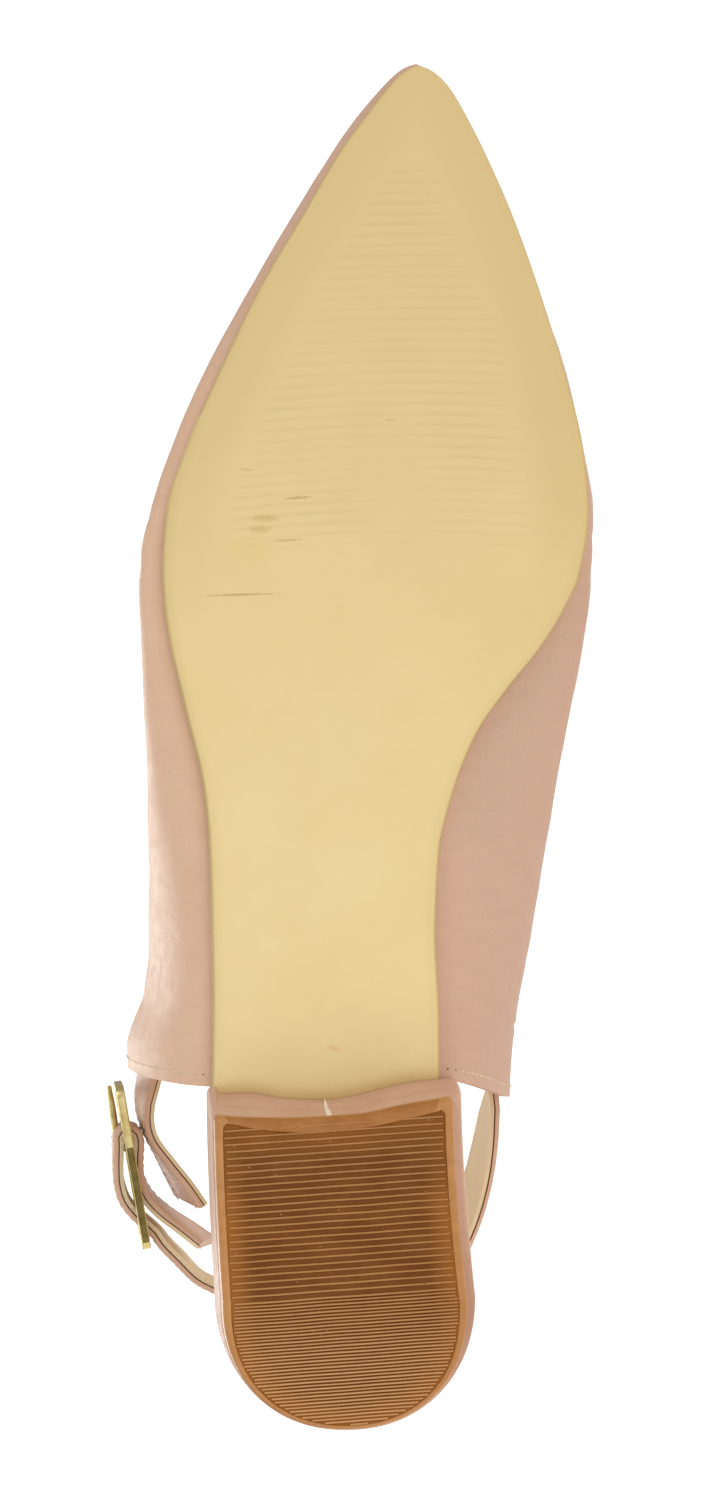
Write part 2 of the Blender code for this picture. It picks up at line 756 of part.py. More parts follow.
# Buckle frame: flat curve with two windows, extruded both ways
def rectangle(curve, x0, x1, halfHeight, radius):
    spline = curve.splines.new("BEZIER")
    corners = [(x0, -halfHeight), (x1, -halfHeight), (x1, halfHeight), (x0, halfHeight)]
    spline.bezier_points.add(7)
    order = []
    for i, (cx, cy) in enumerate(corners):
        px, py = corners[i - 1]
        nx, ny = corners[(i + 1) % 4]
        before = Vector((px - cx, py - cy)).normalized() * radius
        after = Vector((nx - cx, ny - cy)).normalized() * radius
        order.append(((cx + before.x, cy + before.y), (cx, cy), 0))
        order.append(((cx + after.x, cy + after.y), (cx, cy), 1))
    k = 0.55
    for b, (at, corner, second) in zip(spline.bezier_points, order):
        b.co = (at[0] * MM, at[1] * MM, 0)
        handle = (at[0] + (corner[0] - at[0]) * k, at[1] + (corner[1] - at[1]) * k)
        b.handle_left_type = "FREE"
        b.handle_right_type = "FREE"
        b.handle_left = b.co
        b.handle_right = b.co
        if second:
            b.handle_left = (handle[0] * MM, handle[1] * MM, 0)
        else:
            b.handle_right = (handle[0] * MM, handle[1] * MM, 0)
    spline.use_cyclic_u = True


window = STRAP_WIDTH / 2 + WINDOW_SPARE
flat = bpy.data.curves.new("buckle_outline", "CURVE")
flat.dimensions = "2D"
flat.fill_mode = "BOTH"
flat.resolution_u = 4
rectangle(flat, EDGE_ROUND, BUCKLE_LENGTH - EDGE_ROUND, window + BUCKLE_RAIL - EDGE_ROUND, FRAME_CORNER)
barFront = CENTRE_BAR_AT - CENTRE_BAR_WIDTH / 2
rectangle(flat, BUCKLE_BAR + EDGE_ROUND, barFront + EDGE_ROUND, window + EDGE_ROUND, WINDOW_CORNER)
rectangle(
    flat, CENTRE_BAR_AT + CENTRE_BAR_WIDTH / 2 - EDGE_ROUND, BUCKLE_LENGTH - BUCKLE_BAR + EDGE_ROUND,
    window + EDGE_ROUND, WINDOW_CORNER,
)
flat.extrude = (BUCKLE_DEPTH / 2 - EDGE_ROUND) * MM
flat.bevel_depth = EDGE_ROUND * MM
flat.bevel_resolution = 1
scratch = bpy.data.objects.new("buckle_outline", flat)
cutters.objects.link(scratch)
bpy.context.view_layer.update()
graph = bpy.context.evaluated_depsgraph_get()
frameMesh = bpy.data.meshes.new_from_object(scratch.evaluated_get(graph))
bm = bmesh.new()
bm.from_mesh(frameMesh)
bmesh.ops.remove_doubles(bm, verts=bm.verts, dist=1e-6)
bmesh.ops.recalc_face_normals(bm, faces=bm.faces)
bm.to_mesh(frameMesh)
bm.free()
bpy.data.objects.remove(scratch, do_unlink=True)
frameMesh.materials.clear()
frameMesh.materials.append(looks["buckle_frame"])
frame = bpy.data.objects.new("buckle_frame", frameMesh)
shoe.objects.link(frame)
buckleAxes = Matrix((alongBuckle, Vector((0, 0, -1)), outOfBuckle)).transposed().to_4x4()
buckleAxes.translation = buckleFront * MM
frameMesh.transform(buckleAxes)


# Prong: hooked round the centre bar, lying forward over the front bar
def tube(name, path, radius, sides=10):
    rings = []
    for i, p in enumerate(path):
        a = Vector(path[max(0, i - 1)])
        b = Vector(path[min(len(path) - 1, i + 1)])
        along = (b - a).normalized()
        across = Vector((0, 1, 0))
        up = along.cross(across).normalized()
        ring = []
        for k in range(sides):
            t = 2 * math.pi * k / sides
            ring.append(Vector(p) + (across * math.cos(t) + up * math.sin(t)) * radius)
        rings.append(ring)
    return ringLoft(name, rings)


ringRadius = PRONG_RADIUS + GAP + math.hypot(CENTRE_BAR_WIDTH / 2, BUCKLE_DEPTH / 2) - GAP / 3
prongPath = []
for i in range(9):
    a = math.radians(-150 + 240 * i / 8)
    prongPath.append((CENTRE_BAR_AT + ringRadius * math.cos(a), 0, ringRadius * math.sin(a)))
rest = BUCKLE_DEPTH / 2 + GAP + PRONG_RADIUS
for t in (0.15, 0.4, 0.7, 0.9, 1.0):
    x = CENTRE_BAR_AT * (1 - t) + GAP * t
    prongPath.append((x, 0, ringRadius + (rest - ringRadius) * t))
prong = tube("buckle_prong", prongPath, PRONG_RADIUS)
prong.data.transform(buckleAxes)

# Slot for the prong through the strap's fold
slot = solidFrom(
    "prong_slot",
    [
        (CENTRE_BAR_AT + a, b, c)
        for a in (-foldRadius - T_STRAP, ringRadius + PRONG_RADIUS + 2 * GAP)
        for b in (-PRONG_RADIUS - SLOT_SPARE, PRONG_RADIUS + SLOT_SPARE)
        for c in (-foldRadius - T_STRAP, foldRadius + T_STRAP + 2 * GAP)
    ],
    [(0, 1, 3, 2), (4, 6, 7, 5), (0, 4, 5, 1), (2, 3, 7, 6), (0, 2, 6, 4), (1, 5, 7, 3)],
    cutters,
)
slot.data.transform(buckleAxes)
slot.display_type = "WIRE"
slot.hide_render = True
cut = heelStrap.modifiers.new("prong_slot", "BOOLEAN")
cut.operation = "DIFFERENCE"
cut.object = slot
cut.solver = "EXACT"

# Lay the standing shoe down on its inner side and set it on the floor
up = Vector((1.0, math.sin(math.radians(TOE_LIFT)), math.sin(math.radians(SOLE_LEAN)))).normalized()
ahead = (Vector((0, 1, 0)) - up * up.y).normalized()
across = up.cross(ahead)
lie = Matrix((ahead, across, up)).to_4x4()
bpy.context.view_layer.update()
graph = bpy.context.evaluated_depsgraph_get()
corners = []
for o in shoe.objects:
    evaluated = o.evaluated_get(graph)
    corners += [lie @ v.co for v in evaluated.data.vertices]
low = Vector([min(c[k] for c in corners) for k in range(3)])
high = Vector([max(c[k] for c in corners) for k in range(3)])
lie.translation = Vector((-(low.x + high.x) / 2, -(low.y + high.y) / 2, -low.z))
floorEmpty = bpy.data.objects.new("lying_on_inner_side", None)
floorEmpty.matrix_world = lie
shoe.objects.link(floorEmpty)
for o in list(shoe.objects) + list(cutters.objects):
    if o is not floorEmpty:
        o.parent = floorEmpty
bpy.context.view_layer.update()
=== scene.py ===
import json
import math

import bmesh
import bpy
import numpy as np
from mathutils import Matrix, Vector, noise

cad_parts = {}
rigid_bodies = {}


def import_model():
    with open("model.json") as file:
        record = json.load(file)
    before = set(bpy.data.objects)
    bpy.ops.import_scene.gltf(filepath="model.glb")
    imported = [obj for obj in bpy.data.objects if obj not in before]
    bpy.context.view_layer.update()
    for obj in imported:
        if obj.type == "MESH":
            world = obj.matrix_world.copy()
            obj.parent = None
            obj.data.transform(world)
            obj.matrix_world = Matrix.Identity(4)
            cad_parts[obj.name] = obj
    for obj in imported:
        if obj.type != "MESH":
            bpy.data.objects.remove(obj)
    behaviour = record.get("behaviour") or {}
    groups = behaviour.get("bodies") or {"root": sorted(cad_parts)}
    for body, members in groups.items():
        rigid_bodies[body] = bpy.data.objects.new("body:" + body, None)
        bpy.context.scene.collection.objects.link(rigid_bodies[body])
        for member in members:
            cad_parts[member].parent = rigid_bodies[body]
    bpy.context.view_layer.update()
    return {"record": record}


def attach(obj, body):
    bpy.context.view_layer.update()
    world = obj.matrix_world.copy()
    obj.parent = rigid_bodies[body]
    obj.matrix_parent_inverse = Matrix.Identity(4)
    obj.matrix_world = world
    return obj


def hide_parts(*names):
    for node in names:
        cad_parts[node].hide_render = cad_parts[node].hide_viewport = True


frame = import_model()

print("frame loaded")

# Shoe axes in millimetres: x to the outer side, y to the toe, z up from the tread
mm = 0.001
toeLift = 9.3
soleLean = 7.4
up = Vector((1.0, math.sin(math.radians(toeLift)), math.sin(math.radians(soleLean)))).normalized()
ahead = (Vector((0, 1, 0)) - up * up.y).normalized()
turned = Matrix((ahead, up.cross(ahead), up))
# the tread's mount lies this far ahead of the heel's end
mountAhead = 30.0
treadMount = frame["record"]["mounts"][0]
origin = Vector(treadMount["pos_m"]) / mm - turned @ Vector((0, mountAhead, 0))
place = Matrix.Translation(origin * mm) @ turned.to_4x4() @ Matrix.Scale(mm, 4)

# The picture is taken square to the sole where the floor lets it, rolled so the toe is up
shot = {"distance": 875.0, "aboveFloor": 4.0, "height": 297.0, "middle": (-3.7, 134.6, 0.0), "sensor": 36.0}


def addObject(name, data):
    made = bpy.data.objects.new(name, data)
    bpy.context.scene.collection.objects.link(made)
    return made


def setCamera():
    middle = Vector(shot["middle"])
    lowest = origin.z + turned[2].y * middle.y - turned[2].z * shot["distance"]
    side = (shot["aboveFloor"] - lowest) / turned[2].x
    eye = Vector((max(middle.x, side), middle.y, -shot["distance"]))
    forward = (turned @ (middle - eye)).normalized()
    right = forward.cross(turned @ Vector((0, 1, 0))).normalized()
    top = right.cross(forward)
    data = bpy.data.cameras.new("camera")
    data.sensor_width = shot["sensor"]
    data.lens = shot["sensor"] * (middle - eye).length / shot["height"]
    data.clip_start = 0.02
    data.clip_end = 20
    camera = addObject("camera", data)
    axes = Matrix((right, top, -forward)).transposed().to_4x4()
    camera.matrix_world = Matrix.Translation(place @ eye) @ axes
    bpy.context.scene.camera = camera


setCamera()
bpy.context.scene.view_settings.view_transform = "Standard"

# Sizes that the pieces share
shoe = {
    "length": 273.0,
    "ball": 84.5,
    "rise": 14.4,
    "spring": 9.0,
    "throat": 40.0,
    "ankle": 82.0,
    "collar": 44.0,
    "gap": 0.3,
    "wall": 1.8,
    "sole": 3.0,
    "insole": 2.6,
    "soleEnd": 65.3,
    "heelRadius": 25.2,
    "heelMiddle": -0.8,
    "heelSquare": 0.93,
    "heelBack": 1.02,
    "frontHalf": 24.6,
    "frontMiddle": 1.4,
    "flare": 1.0,
    "strapWidth": 11.0,
    "strapThick": 1.8,
    "strapHeight": 50.0,
    "strapRise": 12.0,
}
outer, inner = 1, -1
backEdge = {outer: 67.9, inner: 61.6}
soleTip = shoe["length"] - 1.5
wallTip = shoe["length"] - shoe["wall"] / 2
featherInset = 1.6
featherTip = soleTip - featherInset
throatY = shoe["length"] * 0.715
crownRound = 0.88

# Along as a share of the length, outer and inner edge in shares of the ball width
soleEdge = [
    (1.000, -0.183, -0.183), (0.982, -0.103, -0.262), (0.966, -0.064, -0.291), (0.936, 0.006, -0.338),
    (0.891, 0.091, -0.399), (0.832, 0.202, -0.464), (0.773, 0.293, -0.520), (0.715, 0.374, -0.564),
    (0.672, 0.417, -0.576), (0.627, 0.428, -0.557), (0.598, 0.422, -0.517), (0.569, 0.407, -0.459),
    (0.540, 0.385, -0.385), (0.510, 0.361, -0.319), (0.481, 0.337, -0.279), (0.452, 0.322, -0.251),
    (0.422, 0.314, -0.232), (0.363, 0.307, -0.226), (0.303, 0.303, -0.237), (0.230, 0.304, -0.241),
]
upperEdge = [
    (1.000, -0.184, -0.184), (0.979, -0.089, -0.268), (0.935, 0.020, -0.346), (0.890, 0.108, -0.407),
    (0.831, 0.220, -0.474), (0.772, 0.324, -0.535), (0.714, 0.405, -0.576), (0.670, 0.453, -0.598),
    (0.640, 0.475, -0.595), (0.611, 0.480, -0.591), (0.567, 0.472, -0.576), (0.523, 0.464, -0.553),
    (0.478, 0.454, -0.534), (0.433, 0.447, -0.523), (0.387, 0.440, -0.513), (0.341, 0.438, -0.501),
    (0.303, 0.453, -0.485), (0.264, 0.488, -0.471), (0.249, 0.486, -0.468), (0.200, 0.486, -0.464),
]
# Along, share of the rise behind the ball, share of the spring ahead of it
treadLine = [
    (0.000, 1.02, 0.00), (0.230, 1.00, 0.00), (0.300, 0.87, 0.00), (0.365, 0.69, 0.00),
    (0.440, 0.45, 0.00), (0.530, 0.17, 0.00), (0.605, 0.03, 0.00), (0.660, 0.00, 0.00),
    (0.735, 0.00, 0.03), (0.840, 0.00, 0.29), (0.935, 0.00, 0.68), (1.000, 0.00, 1.00),
]
# Along, height of the widest line, then the ridge in shares of the throat's and of the ankle's height
crown = [
    (0.200, 0.92, 1.0, 1.00), (0.260, 0.92, 1.0, 0.94), (0.340, 0.79, 1.0, 0.80),
    (0.400, 0.57, 1.0, 0.67), (0.450, 0.33, 1.0, 0.56), (0.520, 0.155, 1.0, 0.415),
    (0.580, 0.095, 1.0, 0.28), (0.640, 0.08, 1.0, 0.15), (0.690, 0.08, 1.0, 0.045),
    (0.715, 0.085, 0.99, 0.0), (0.760, 0.09, 0.895, 0.0), (0.830, 0.095, 0.72, 0.0),
    (0.900, 0.095, 0.565, 0.0), (0.950, 0.09, 0.44, 0.0), (1.000, 0.07, 0.265, 0.0),
]
# Way back from the throat, half width of the opening as a share of the wall's
openingEdge = [
    (0.00, 0.00), (0.015, 0.24), (0.04, 0.38), (0.08, 0.51), (0.14, 0.63), (0.22, 0.73),
    (0.34, 0.82), (0.50, 0.885), (0.68, 0.925), (0.85, 0.952), (0.96, 0.965), (1.00, 0.975),
]


def smoothCurve(xs, ys):
    # monotone cubic through the rows of a table
    order = np.argsort(xs)
    x, y = np.array(xs, float)[order], np.array(ys, float)[order]
    h = np.diff(x)
    d = np.diff(y) / h
    m = np.zeros(len(x))
    m[0], m[-1] = d[0], d[-1]
    for i in range(1, len(x) - 1):
        if d[i - 1] * d[i] > 0:
            w1, w2 = 2 * h[i] + h[i - 1], h[i] + 2 * h[i - 1]
            m[i] = (w1 + w2) / (w1 / d[i - 1] + w2 / d[i])

    def value(at):
        at = min(max(at, x[0]), x[-1])
        i = min(int(np.searchsorted(x, at, side="right")) - 1, len(h) - 1)
        t = (at - x[i]) / h[i]
        a = (1 + 2 * t) * (1 - t) ** 2 * y[i] + t * t * (3 - 2 * t) * y[i + 1]
        return float(a + h[i] * (t * (1 - t) ** 2 * m[i] - t * t * (1 - t) * m[i + 1]))

    return value


def columnCurve(rows, column):
    return smoothCurve([r[0] for r in rows], [r[column] for r in rows])


def tipCurve(rows, column):
    curve = smoothCurve([math.sqrt(1 - r[0]) for r in rows], [r[column] for r in rows])
    return lambda share: curve(math.sqrt(max(0.0, 1 - share)))


soleCurve = {outer: tipCurve(soleEdge, 1), inner: tipCurve(soleEdge, 2)}
upperCurve = {outer: tipCurve(upperEdge, 1), inner: tipCurve(upperEdge, 2)}
riseCurve, springCurve = columnCurve(treadLine, 1), columnCurve(treadLine, 2)
wideCurve, throatCurve, ankleCurve = (columnCurve(crown, k) for k in (1, 2, 3))
openCurve = smoothCurve([math.sqrt(r[0]) for r in openingEdge], [r[1] for r in openingEdge])


def ease(t):
    t = min(1.0, max(0.0, t))
    return t * t * (3 - 2 * t)


def soleX(side, y):
    return shoe["ball"] * soleCurve[side](y / soleTip)


def treadZ(y):
    share = y / shoe["length"]
    return shoe["rise"] * riseCurve(share) + shoe["spring"] * springCurve(share)


def wallZ(y):
    return treadZ(y) + shoe["sole"] + shoe["gap"] + shoe["wall"] / 2


def insoleZ(y):
    return wallZ(y) + shoe["wall"] / 2 + shoe["gap"]


def frontLine(x):
    return -0.05 * x + 2.3 * (x / shoe["frontHalf"]) ** 2


# Across and along: where the sole ends, the lip of the wear piece and the first rib
breastRows = [
    (27.0, 65.3), (23.5, 65.4), (18.1, 65.5), (10.8, 64.4), (3.2, 64.1),
    (-2.1, 64.7), (-8.5, 66.2), (-13.8, 67.4), (-20.6, 68.1), (-26.0, 68.3),
]
lipRows = [
    (28.0, 62.6), (22.0, 62.0), (18.1, 61.8), (10.8, 61.7), (3.2, 62.0),
    (-3.1, 62.4), (-11.0, 64.0), (-17.0, 65.0), (-21.7, 65.7), (-27.0, 66.0),
]
ribRows = [
    (26.0, 61.2), (22.5, 60.7), (18.1, 59.8), (7.5, 58.9),
    (-3.1, 59.7), (-13.7, 61.8), (-21.7, 63.7), (-26.0, 64.4),
]
breastLine, lipLine, ribLine = (columnCurve(rows, 1) for rows in (breastRows, lipRows, ribRows))


def featherPoint(side, y):
    x = shoe["ball"] * soleCurve[side](y / featherTip) - side * featherInset
    middle = shoe["ball"] * soleCurve[side](1.0)
    if side * (x - middle) < 0:
        x = middle
    return Vector((x, y, wallZ(y)))


def widePoint(side, y):
    x = shoe["ball"] * upperCurve[side](y / wallTip)
    middle = shoe["ball"] * upperCurve[side](1.0)
    x = max(0.0, side * (x - middle) - shoe["wall"] / 2) * side + middle
    return Vector((x, y, wallZ(y) + shoe["collar"] * wideCurve(y / shoe["length"])))


def ridgePoint(y):
    share = y / shoe["length"]
    height = shoe["throat"] * throatCurve(share) + (shoe["ankle"] - shoe["throat"]) * ankleCurve(share)
    middle = (widePoint(outer, y).x + widePoint(inner, y).x) / 2
    return Vector((middle, y, height + shoe["spring"] * springCurve(share)))


def lowerArc(low, wide, turn):
    k = math.sin(turn)
    z = low.z + (wide.z - low.z) * (1 - math.cos(turn))
    return Vector((low.x + (wide.x - low.x) * k, low.y + (wide.y - low.y) * k ** 1.6, z))


def upperArc(wide, ridge, turn):
    k = math.cos(turn) ** crownRound if turn < math.pi / 2 - 1e-9 else 0.0
    z = wide.z + (ridge.z - wide.z) * math.sin(turn) ** crownRound
    return Vector((ridge.x + (wide.x - ridge.x) * k, ridge.y + (wide.y - ridge.y) * k, z))


def wallX(side, y, z):
    low, wide, ridge = featherPoint(side, y), widePoint(side, y), ridgePoint(y)
    if z < wide.z:
        turn = math.acos(max(0.0, 1 - (z - low.z) / (wide.z - low.z)))
        return lowerArc(low, wide, turn).x
    lift = min(1.0, (z - wide.z) / (ridge.z - wide.z)) ** (1 / crownRound)
    return upperArc(wide, ridge, math.asin(lift)).x


# Materials: a wrapped socket that takes part in Python maths, and one method for every other node
class Wire:
    def __init__(self, finish, socket):
        self.finish = finish
        self.socket = socket

    def maths(self, operation, first, second):
        return self.finish.node("Math", {"operation": operation}, {0: first, 1: second})

    def __add__(self, other):
        return self.maths("ADD", self, other)

    def __radd__(self, other):
        return self.maths("ADD", other, self)

    def __sub__(self, other):
        return self.maths("SUBTRACT", self, other)

    def __rsub__(self, other):
        return self.maths("SUBTRACT", other, self)

    def __mul__(self, other):
        return self.maths("MULTIPLY", self, other)

    def __rmul__(self, other):
        return self.maths("MULTIPLY", other, self)

    def __truediv__(self, other):
        return self.maths("DIVIDE", self, other)

    def __rtruediv__(self, other):
        return self.maths("DIVIDE", other, self)


class Finish:
    def __init__(self, name, world=False):
        self.owner = (bpy.data.worlds if world else bpy.data.materials).new(name)
        self.owner.use_nodes = True
        self.tree = self.owner.node_tree
        self.tree.nodes.clear()

    def node(self, kind, settings=None, sockets=None, out=0):
        made = self.tree.nodes.new("ShaderNode" + kind)
        for key, value in (settings or {}).items():
            setattr(made, key, value)
        for key, value in (sockets or {}).items():
            socket = made.inputs[key]
            if isinstance(value, Wire):
                self.tree.links.new(value.socket, socket)
            elif hasattr(socket.default_value, "__len__") and len(socket.default_value) == 4:
                socket.default_value = (*value, 1)
            else:
                socket.default_value = value
        return Wire(self, made.outputs[out]) if made.outputs else None

    def shoeSpace(self):
        # object coordinates turned back into shoe millimetres
        back = place.inverted()
        spot = self.node("TexCoord", out=3)
        return self.node("Mapping", {}, {
            "Vector": spot, "Location": back.translation,
            "Rotation": back.to_euler(), "Scale": back.to_scale(),
        })

    def parts(self, vector):
        split = self.node("SeparateXYZ", {}, {"Vector": vector})
        return [Wire(self, socket) for socket in split.socket.node.outputs]

    def stretch(self, vector, scale):
        return self.node("Mapping", {}, {"Vector": vector, "Scale": scale})

    def noise(self, vector, scale, detail=3.0, roughness=0.55, distortion=0.0):
        return self.node("TexNoise", {}, {
            "Vector": vector, "Scale": scale, "Detail": detail,
            "Roughness": roughness, "Distortion": distortion,
        })

    def cells(self, vector, scale, feature="F1"):
        return self.node("TexVoronoi", {"feature": feature}, {"Vector": vector, "Scale": scale})

    def between(self, value, low, high, start=0.0, end=1.0):
        return self.node("MapRange", {"interpolation_type": "SMOOTHSTEP"}, {
            "Value": value, "From Min": low, "From Max": high, "To Min": start, "To Max": end,
        })

    def mix(self, factor, first, second):
        return self.node("Mix", {"data_type": "RGBA"}, {0: factor, 6: first, 7: second}, out=2)

    def attribute(self, name):
        return self.node("Attribute", {"attribute_name": name}, out=2)

    def bump(self, height, depth, below=None):
        sockets = {"Height": height, "Distance": depth * mm, "Strength": 1.0}
        if below:
            sockets["Normal"] = below
        return self.node("Bump", {}, sockets)

    def finishWith(self, sockets):
        shader = self.node("BsdfPrincipled", {}, sockets)
        self.node("OutputMaterial", {}, {"Surface": shader})
        return self.owner


def leatherFinish(name, colour, deep, light, pleats=0.0, sides=None):
    # fine grained leather with soft mottling, pores, rubbed light spots and creases near the sole; sides
    # adds painted shade on the inner wall and painted light on the outer one
    f = Finish(name)
    spot = f.shoeSpace()
    grain = 2.2
    mottle = f.noise(spot, 0.055, 4.0, 0.6)
    cloud = f.noise(spot, 0.35, 3.0, 0.6)
    pore = f.cells(spot, grain, "DISTANCE_TO_EDGE")
    fine = f.noise(spot, grain * 2.6, 3.0, 0.65)
    tone = f.mix(f.between(mottle, 0.28, 0.72), f.mix(0.45, colour, deep), f.mix(0.45, colour, light))
    tone = f.mix(f.between(cloud, 0.35, 0.75, 0.0, 0.5), tone, colour)
    if sides:
        # painted shade darkens the inner wall and painted light makes the outer one paler
        x = f.parts(spot)[0]
        tone = f.mix(f.between(x, -14.0, -32.0, 0.0, 0.8), tone, sides[0])
        tone = f.mix(f.between(x, 14.0, 32.0, 0.0, 0.8), tone, sides[1])
    tone = f.mix(f.between(pore, 0.0, 0.12, 0.125, 0.0), tone, tuple(c * 0.55 for c in deep))
    height = f.between(pore, 0.0, 0.22) * 0.7 + fine * 0.5
    normal = f.bump(height, 0.035)
    if pleats:
        near = f.attribute("pleat")
        crease = f.noise(f.stretch(spot, (0.13, 0.55, 0.15)), 1.0, 2.0, 0.5, 0.4)
        fold = f.between(crease, 0.34, 0.62)
        # the crease troughs are painted darker: painted shade
        tone = f.mix((1 - fold) * near * 0.09, tone, tuple(c * 0.7 for c in deep))
        normal = f.bump(fold * near, pleats, normal)
    rough = f.between(cloud, 0.3, 0.7, 0.42, 0.56)
    return f.finishWith({
        "Base Color": tone, "Roughness": rough, "Normal": normal, "Specular IOR Level": 0.42,
        "Coat Weight": 0.06, "Coat Roughness": 0.35,
    })


def liningFinish(name, colour, deep):
    f = Finish(name)
    spot = f.shoeSpace()
    mottle = f.noise(spot, 0.08, 4.0, 0.6)
    fine = f.noise(spot, 4.2, 3.0, 0.7)
    pore = f.cells(spot, 1.7)
    tone = f.mix(f.between(mottle, 0.35, 0.7), deep, colour)
    tone = f.mix(f.between(fine, 0.4, 0.7, 0.0, 0.18), tone, tuple(c * 0.7 for c in deep))
    normal = f.bump(fine * 0.6 + pore * 0.5, 0.04)
    return f.finishWith({
        "Base Color": tone, "Roughness": f.between(mottle, 0.3, 0.7, 0.6, 0.75), "Normal": normal,
        "Specular IOR Level": 0.3,
    })


def soleFinish():
    # cream moulded sole: a darker line and band along its edge, faint scuffs, ridge shadows and a few light
    # brown marks
    f = Finish("soleCream")
    spot = f.shoeSpace()
    x, y = f.parts(spot)[:2]
    mottle = f.noise(spot, 0.045, 4.0, 0.6)
    cloud = f.noise(spot, 0.4, 4.0, 0.65)
    fine = f.noise(spot, 3.0, 3.0, 0.7)
    tone = f.mix(f.between(mottle, 0.3, 0.7), (0.775, 0.610, 0.290), (0.805, 0.650, 0.318))
    tone = f.mix(f.between(cloud, 0.45, 0.8, 0.0, 0.35), tone, (0.80, 0.645, 0.325))
    dirt = f.between(fine, 0.55, 0.75) * f.between(cloud, 0.4, 0.7)
    tone = f.mix(dirt * 0.12, tone, (0.45, 0.32, 0.13))
    toward = f.mix(mottle, (0.665, 0.500, 0.235), (0.695, 0.530, 0.250))
    tone = f.mix(f.between(y, 60.0, 265.0, 0.0, 1.0), tone, toward)
    ridge = f.attribute("ridge")
    tone = f.mix(f.between(ridge, 0.15, 0.9, 0.0, 0.16), tone, (0.50, 0.37, 0.16))
    ragged = f.noise(spot, 1.3, 4.0, 0.7)
    for mx, my, wide, tall, tilt, colour, strong in soleMarks:
        dx = (x - mx) / wide
        dy = (y - my - (x - mx) * tilt) / tall
        away = dx * dx + dy * dy + ragged * 1.6
        tone = f.mix(f.between(away, 0.65, 1.9, strong, 0.0), tone, colour)
    # a darker line and a softer darker band along the sole's rolled edge
    edge = f.attribute("edge")
    rim = f.between(edge, 0.05, 0.75, 0.75, 0.0) * f.between(edge, -0.35, 0.0, 0.25, 1.0)
    rim = rim * f.between(y, 57.0, 64.0, 0.4, 1.0)
    tone = f.mix(rim, tone, (0.36, 0.225, 0.085))
    tone = f.mix(f.between(edge, 0.4, 3.0, 0.22, 0.0), tone, (0.60, 0.44, 0.19))
    border = f.between(edge, 5.0, 14.0, 0.55, 0.0) * f.between(y, 150.0, 200.0, 0.0, 1.0)
    tone = f.mix(border, tone, (0.63, 0.465, 0.205))
    normal = f.bump(fine * 0.5 + cloud, 0.04)
    scuff = f.noise(f.stretch(spot, (0.5, 0.05, 0.5)), 1.0, 4.0, 0.7)
    return f.finishWith({
        "Base Color": tone, "Roughness": f.between(scuff, 0.35, 0.7, 0.38, 0.55), "Normal": normal,
        "Specular IOR Level": 0.35,
    })


# Marks on the sole: middle x and y, half length across and along, tilt, colour, strength
soleMarks = [
    (9.4, 184.5, 3.4, 0.38, -0.08, (0.36, 0.23, 0.09), 0.55),
    (15.9, 180.4, 3.4, 0.95, 0.02, (0.46, 0.31, 0.08), 0.42),
    (16.9, 178.2, 2.7, 0.95, 0.0, (0.46, 0.31, 0.08), 0.38),
    (18.9, 174.2, 5.5, 3.4, 0.0, (0.66, 0.52, 0.14), 0.20),
    (11.4, 176.1, 3.6, 0.36, -0.05, (0.38, 0.25, 0.09), 0.45),
    (20.6, 165.3, 8.4, 0.34, -0.03, (0.38, 0.25, 0.10), 0.62),
    (19.5, 190.0, 2.2, 0.4, 0.05, (0.40, 0.26, 0.10), 0.3),
    (1.1, 74.6, 1.9, 0.75, 0.2, (0.66, 0.33, 0.16), 0.42),
    (-9.0, 200.0, 1.6, 0.35, 0.0, (0.45, 0.30, 0.13), 0.25),
]


def wearFinish(name, base, worn, edgeGlow, rough=0.5, glow=0.8, gloss=0.15, reach=(0.5, 5.0), rear=0.0):
    # brown rubber, lighter where it is worn, warmer near the rim, with pale and dark specks
    f = Finish(name)
    spot = f.shoeSpace()
    cloud = f.noise(f.stretch(spot, (0.10, 0.22, 0.2)), 1.0, 4.0, 0.6)
    fine = f.noise(spot, 3.5, 3.0, 0.7)
    edge = f.attribute("edge")
    tone = f.mix(f.between(cloud, 0.35, 0.7), base, worn)
    y = f.parts(spot)[1]
    warm = f.between(edge, reach[0], reach[1], glow, 0.0) * f.between(y, 44.0, 52.0, 1.0, 0.45)
    tone = f.mix(warm, tone, edgeGlow)
    if rear:
        tone = f.mix(f.between(y, 34.0, 8.0, 0.0, rear), tone, (0.70, 0.405, 0.185))
    tone = f.mix(f.between(f.cells(spot, 0.42), 0.03, 0.09, 0.55, 0.0), tone, (0.60, 0.42, 0.24))
    tone = f.mix(f.between(f.cells(spot, 0.27), 0.03, 0.07, 0.6, 0.0), tone, (0.09, 0.035, 0.012))
    return f.finishWith({
        "Base Color": tone, "Roughness": f.between(fine, 0.3, 0.7, rough - 0.06, rough + 0.1),
        "Normal": f.bump(fine, 0.04), "Specular IOR Level": gloss,
    })


def giltFinish(name, deep, light, rough):
    f = Finish(name)
    spot = f.shoeSpace()
    cloud = f.noise(spot, 0.35, 3.0, 0.6)
    fine = f.noise(spot, 3.0, 3.0, 0.7)
    tone = f.mix(f.between(cloud, 0.35, 0.65), deep, light)
    return f.finishWith({
        "Base Color": tone, "Metallic": 1.0, "Roughness": f.between(fine, 0.3, 0.7, rough, rough + 0.12),
        "Normal": f.bump(cloud, 0.006),
    })


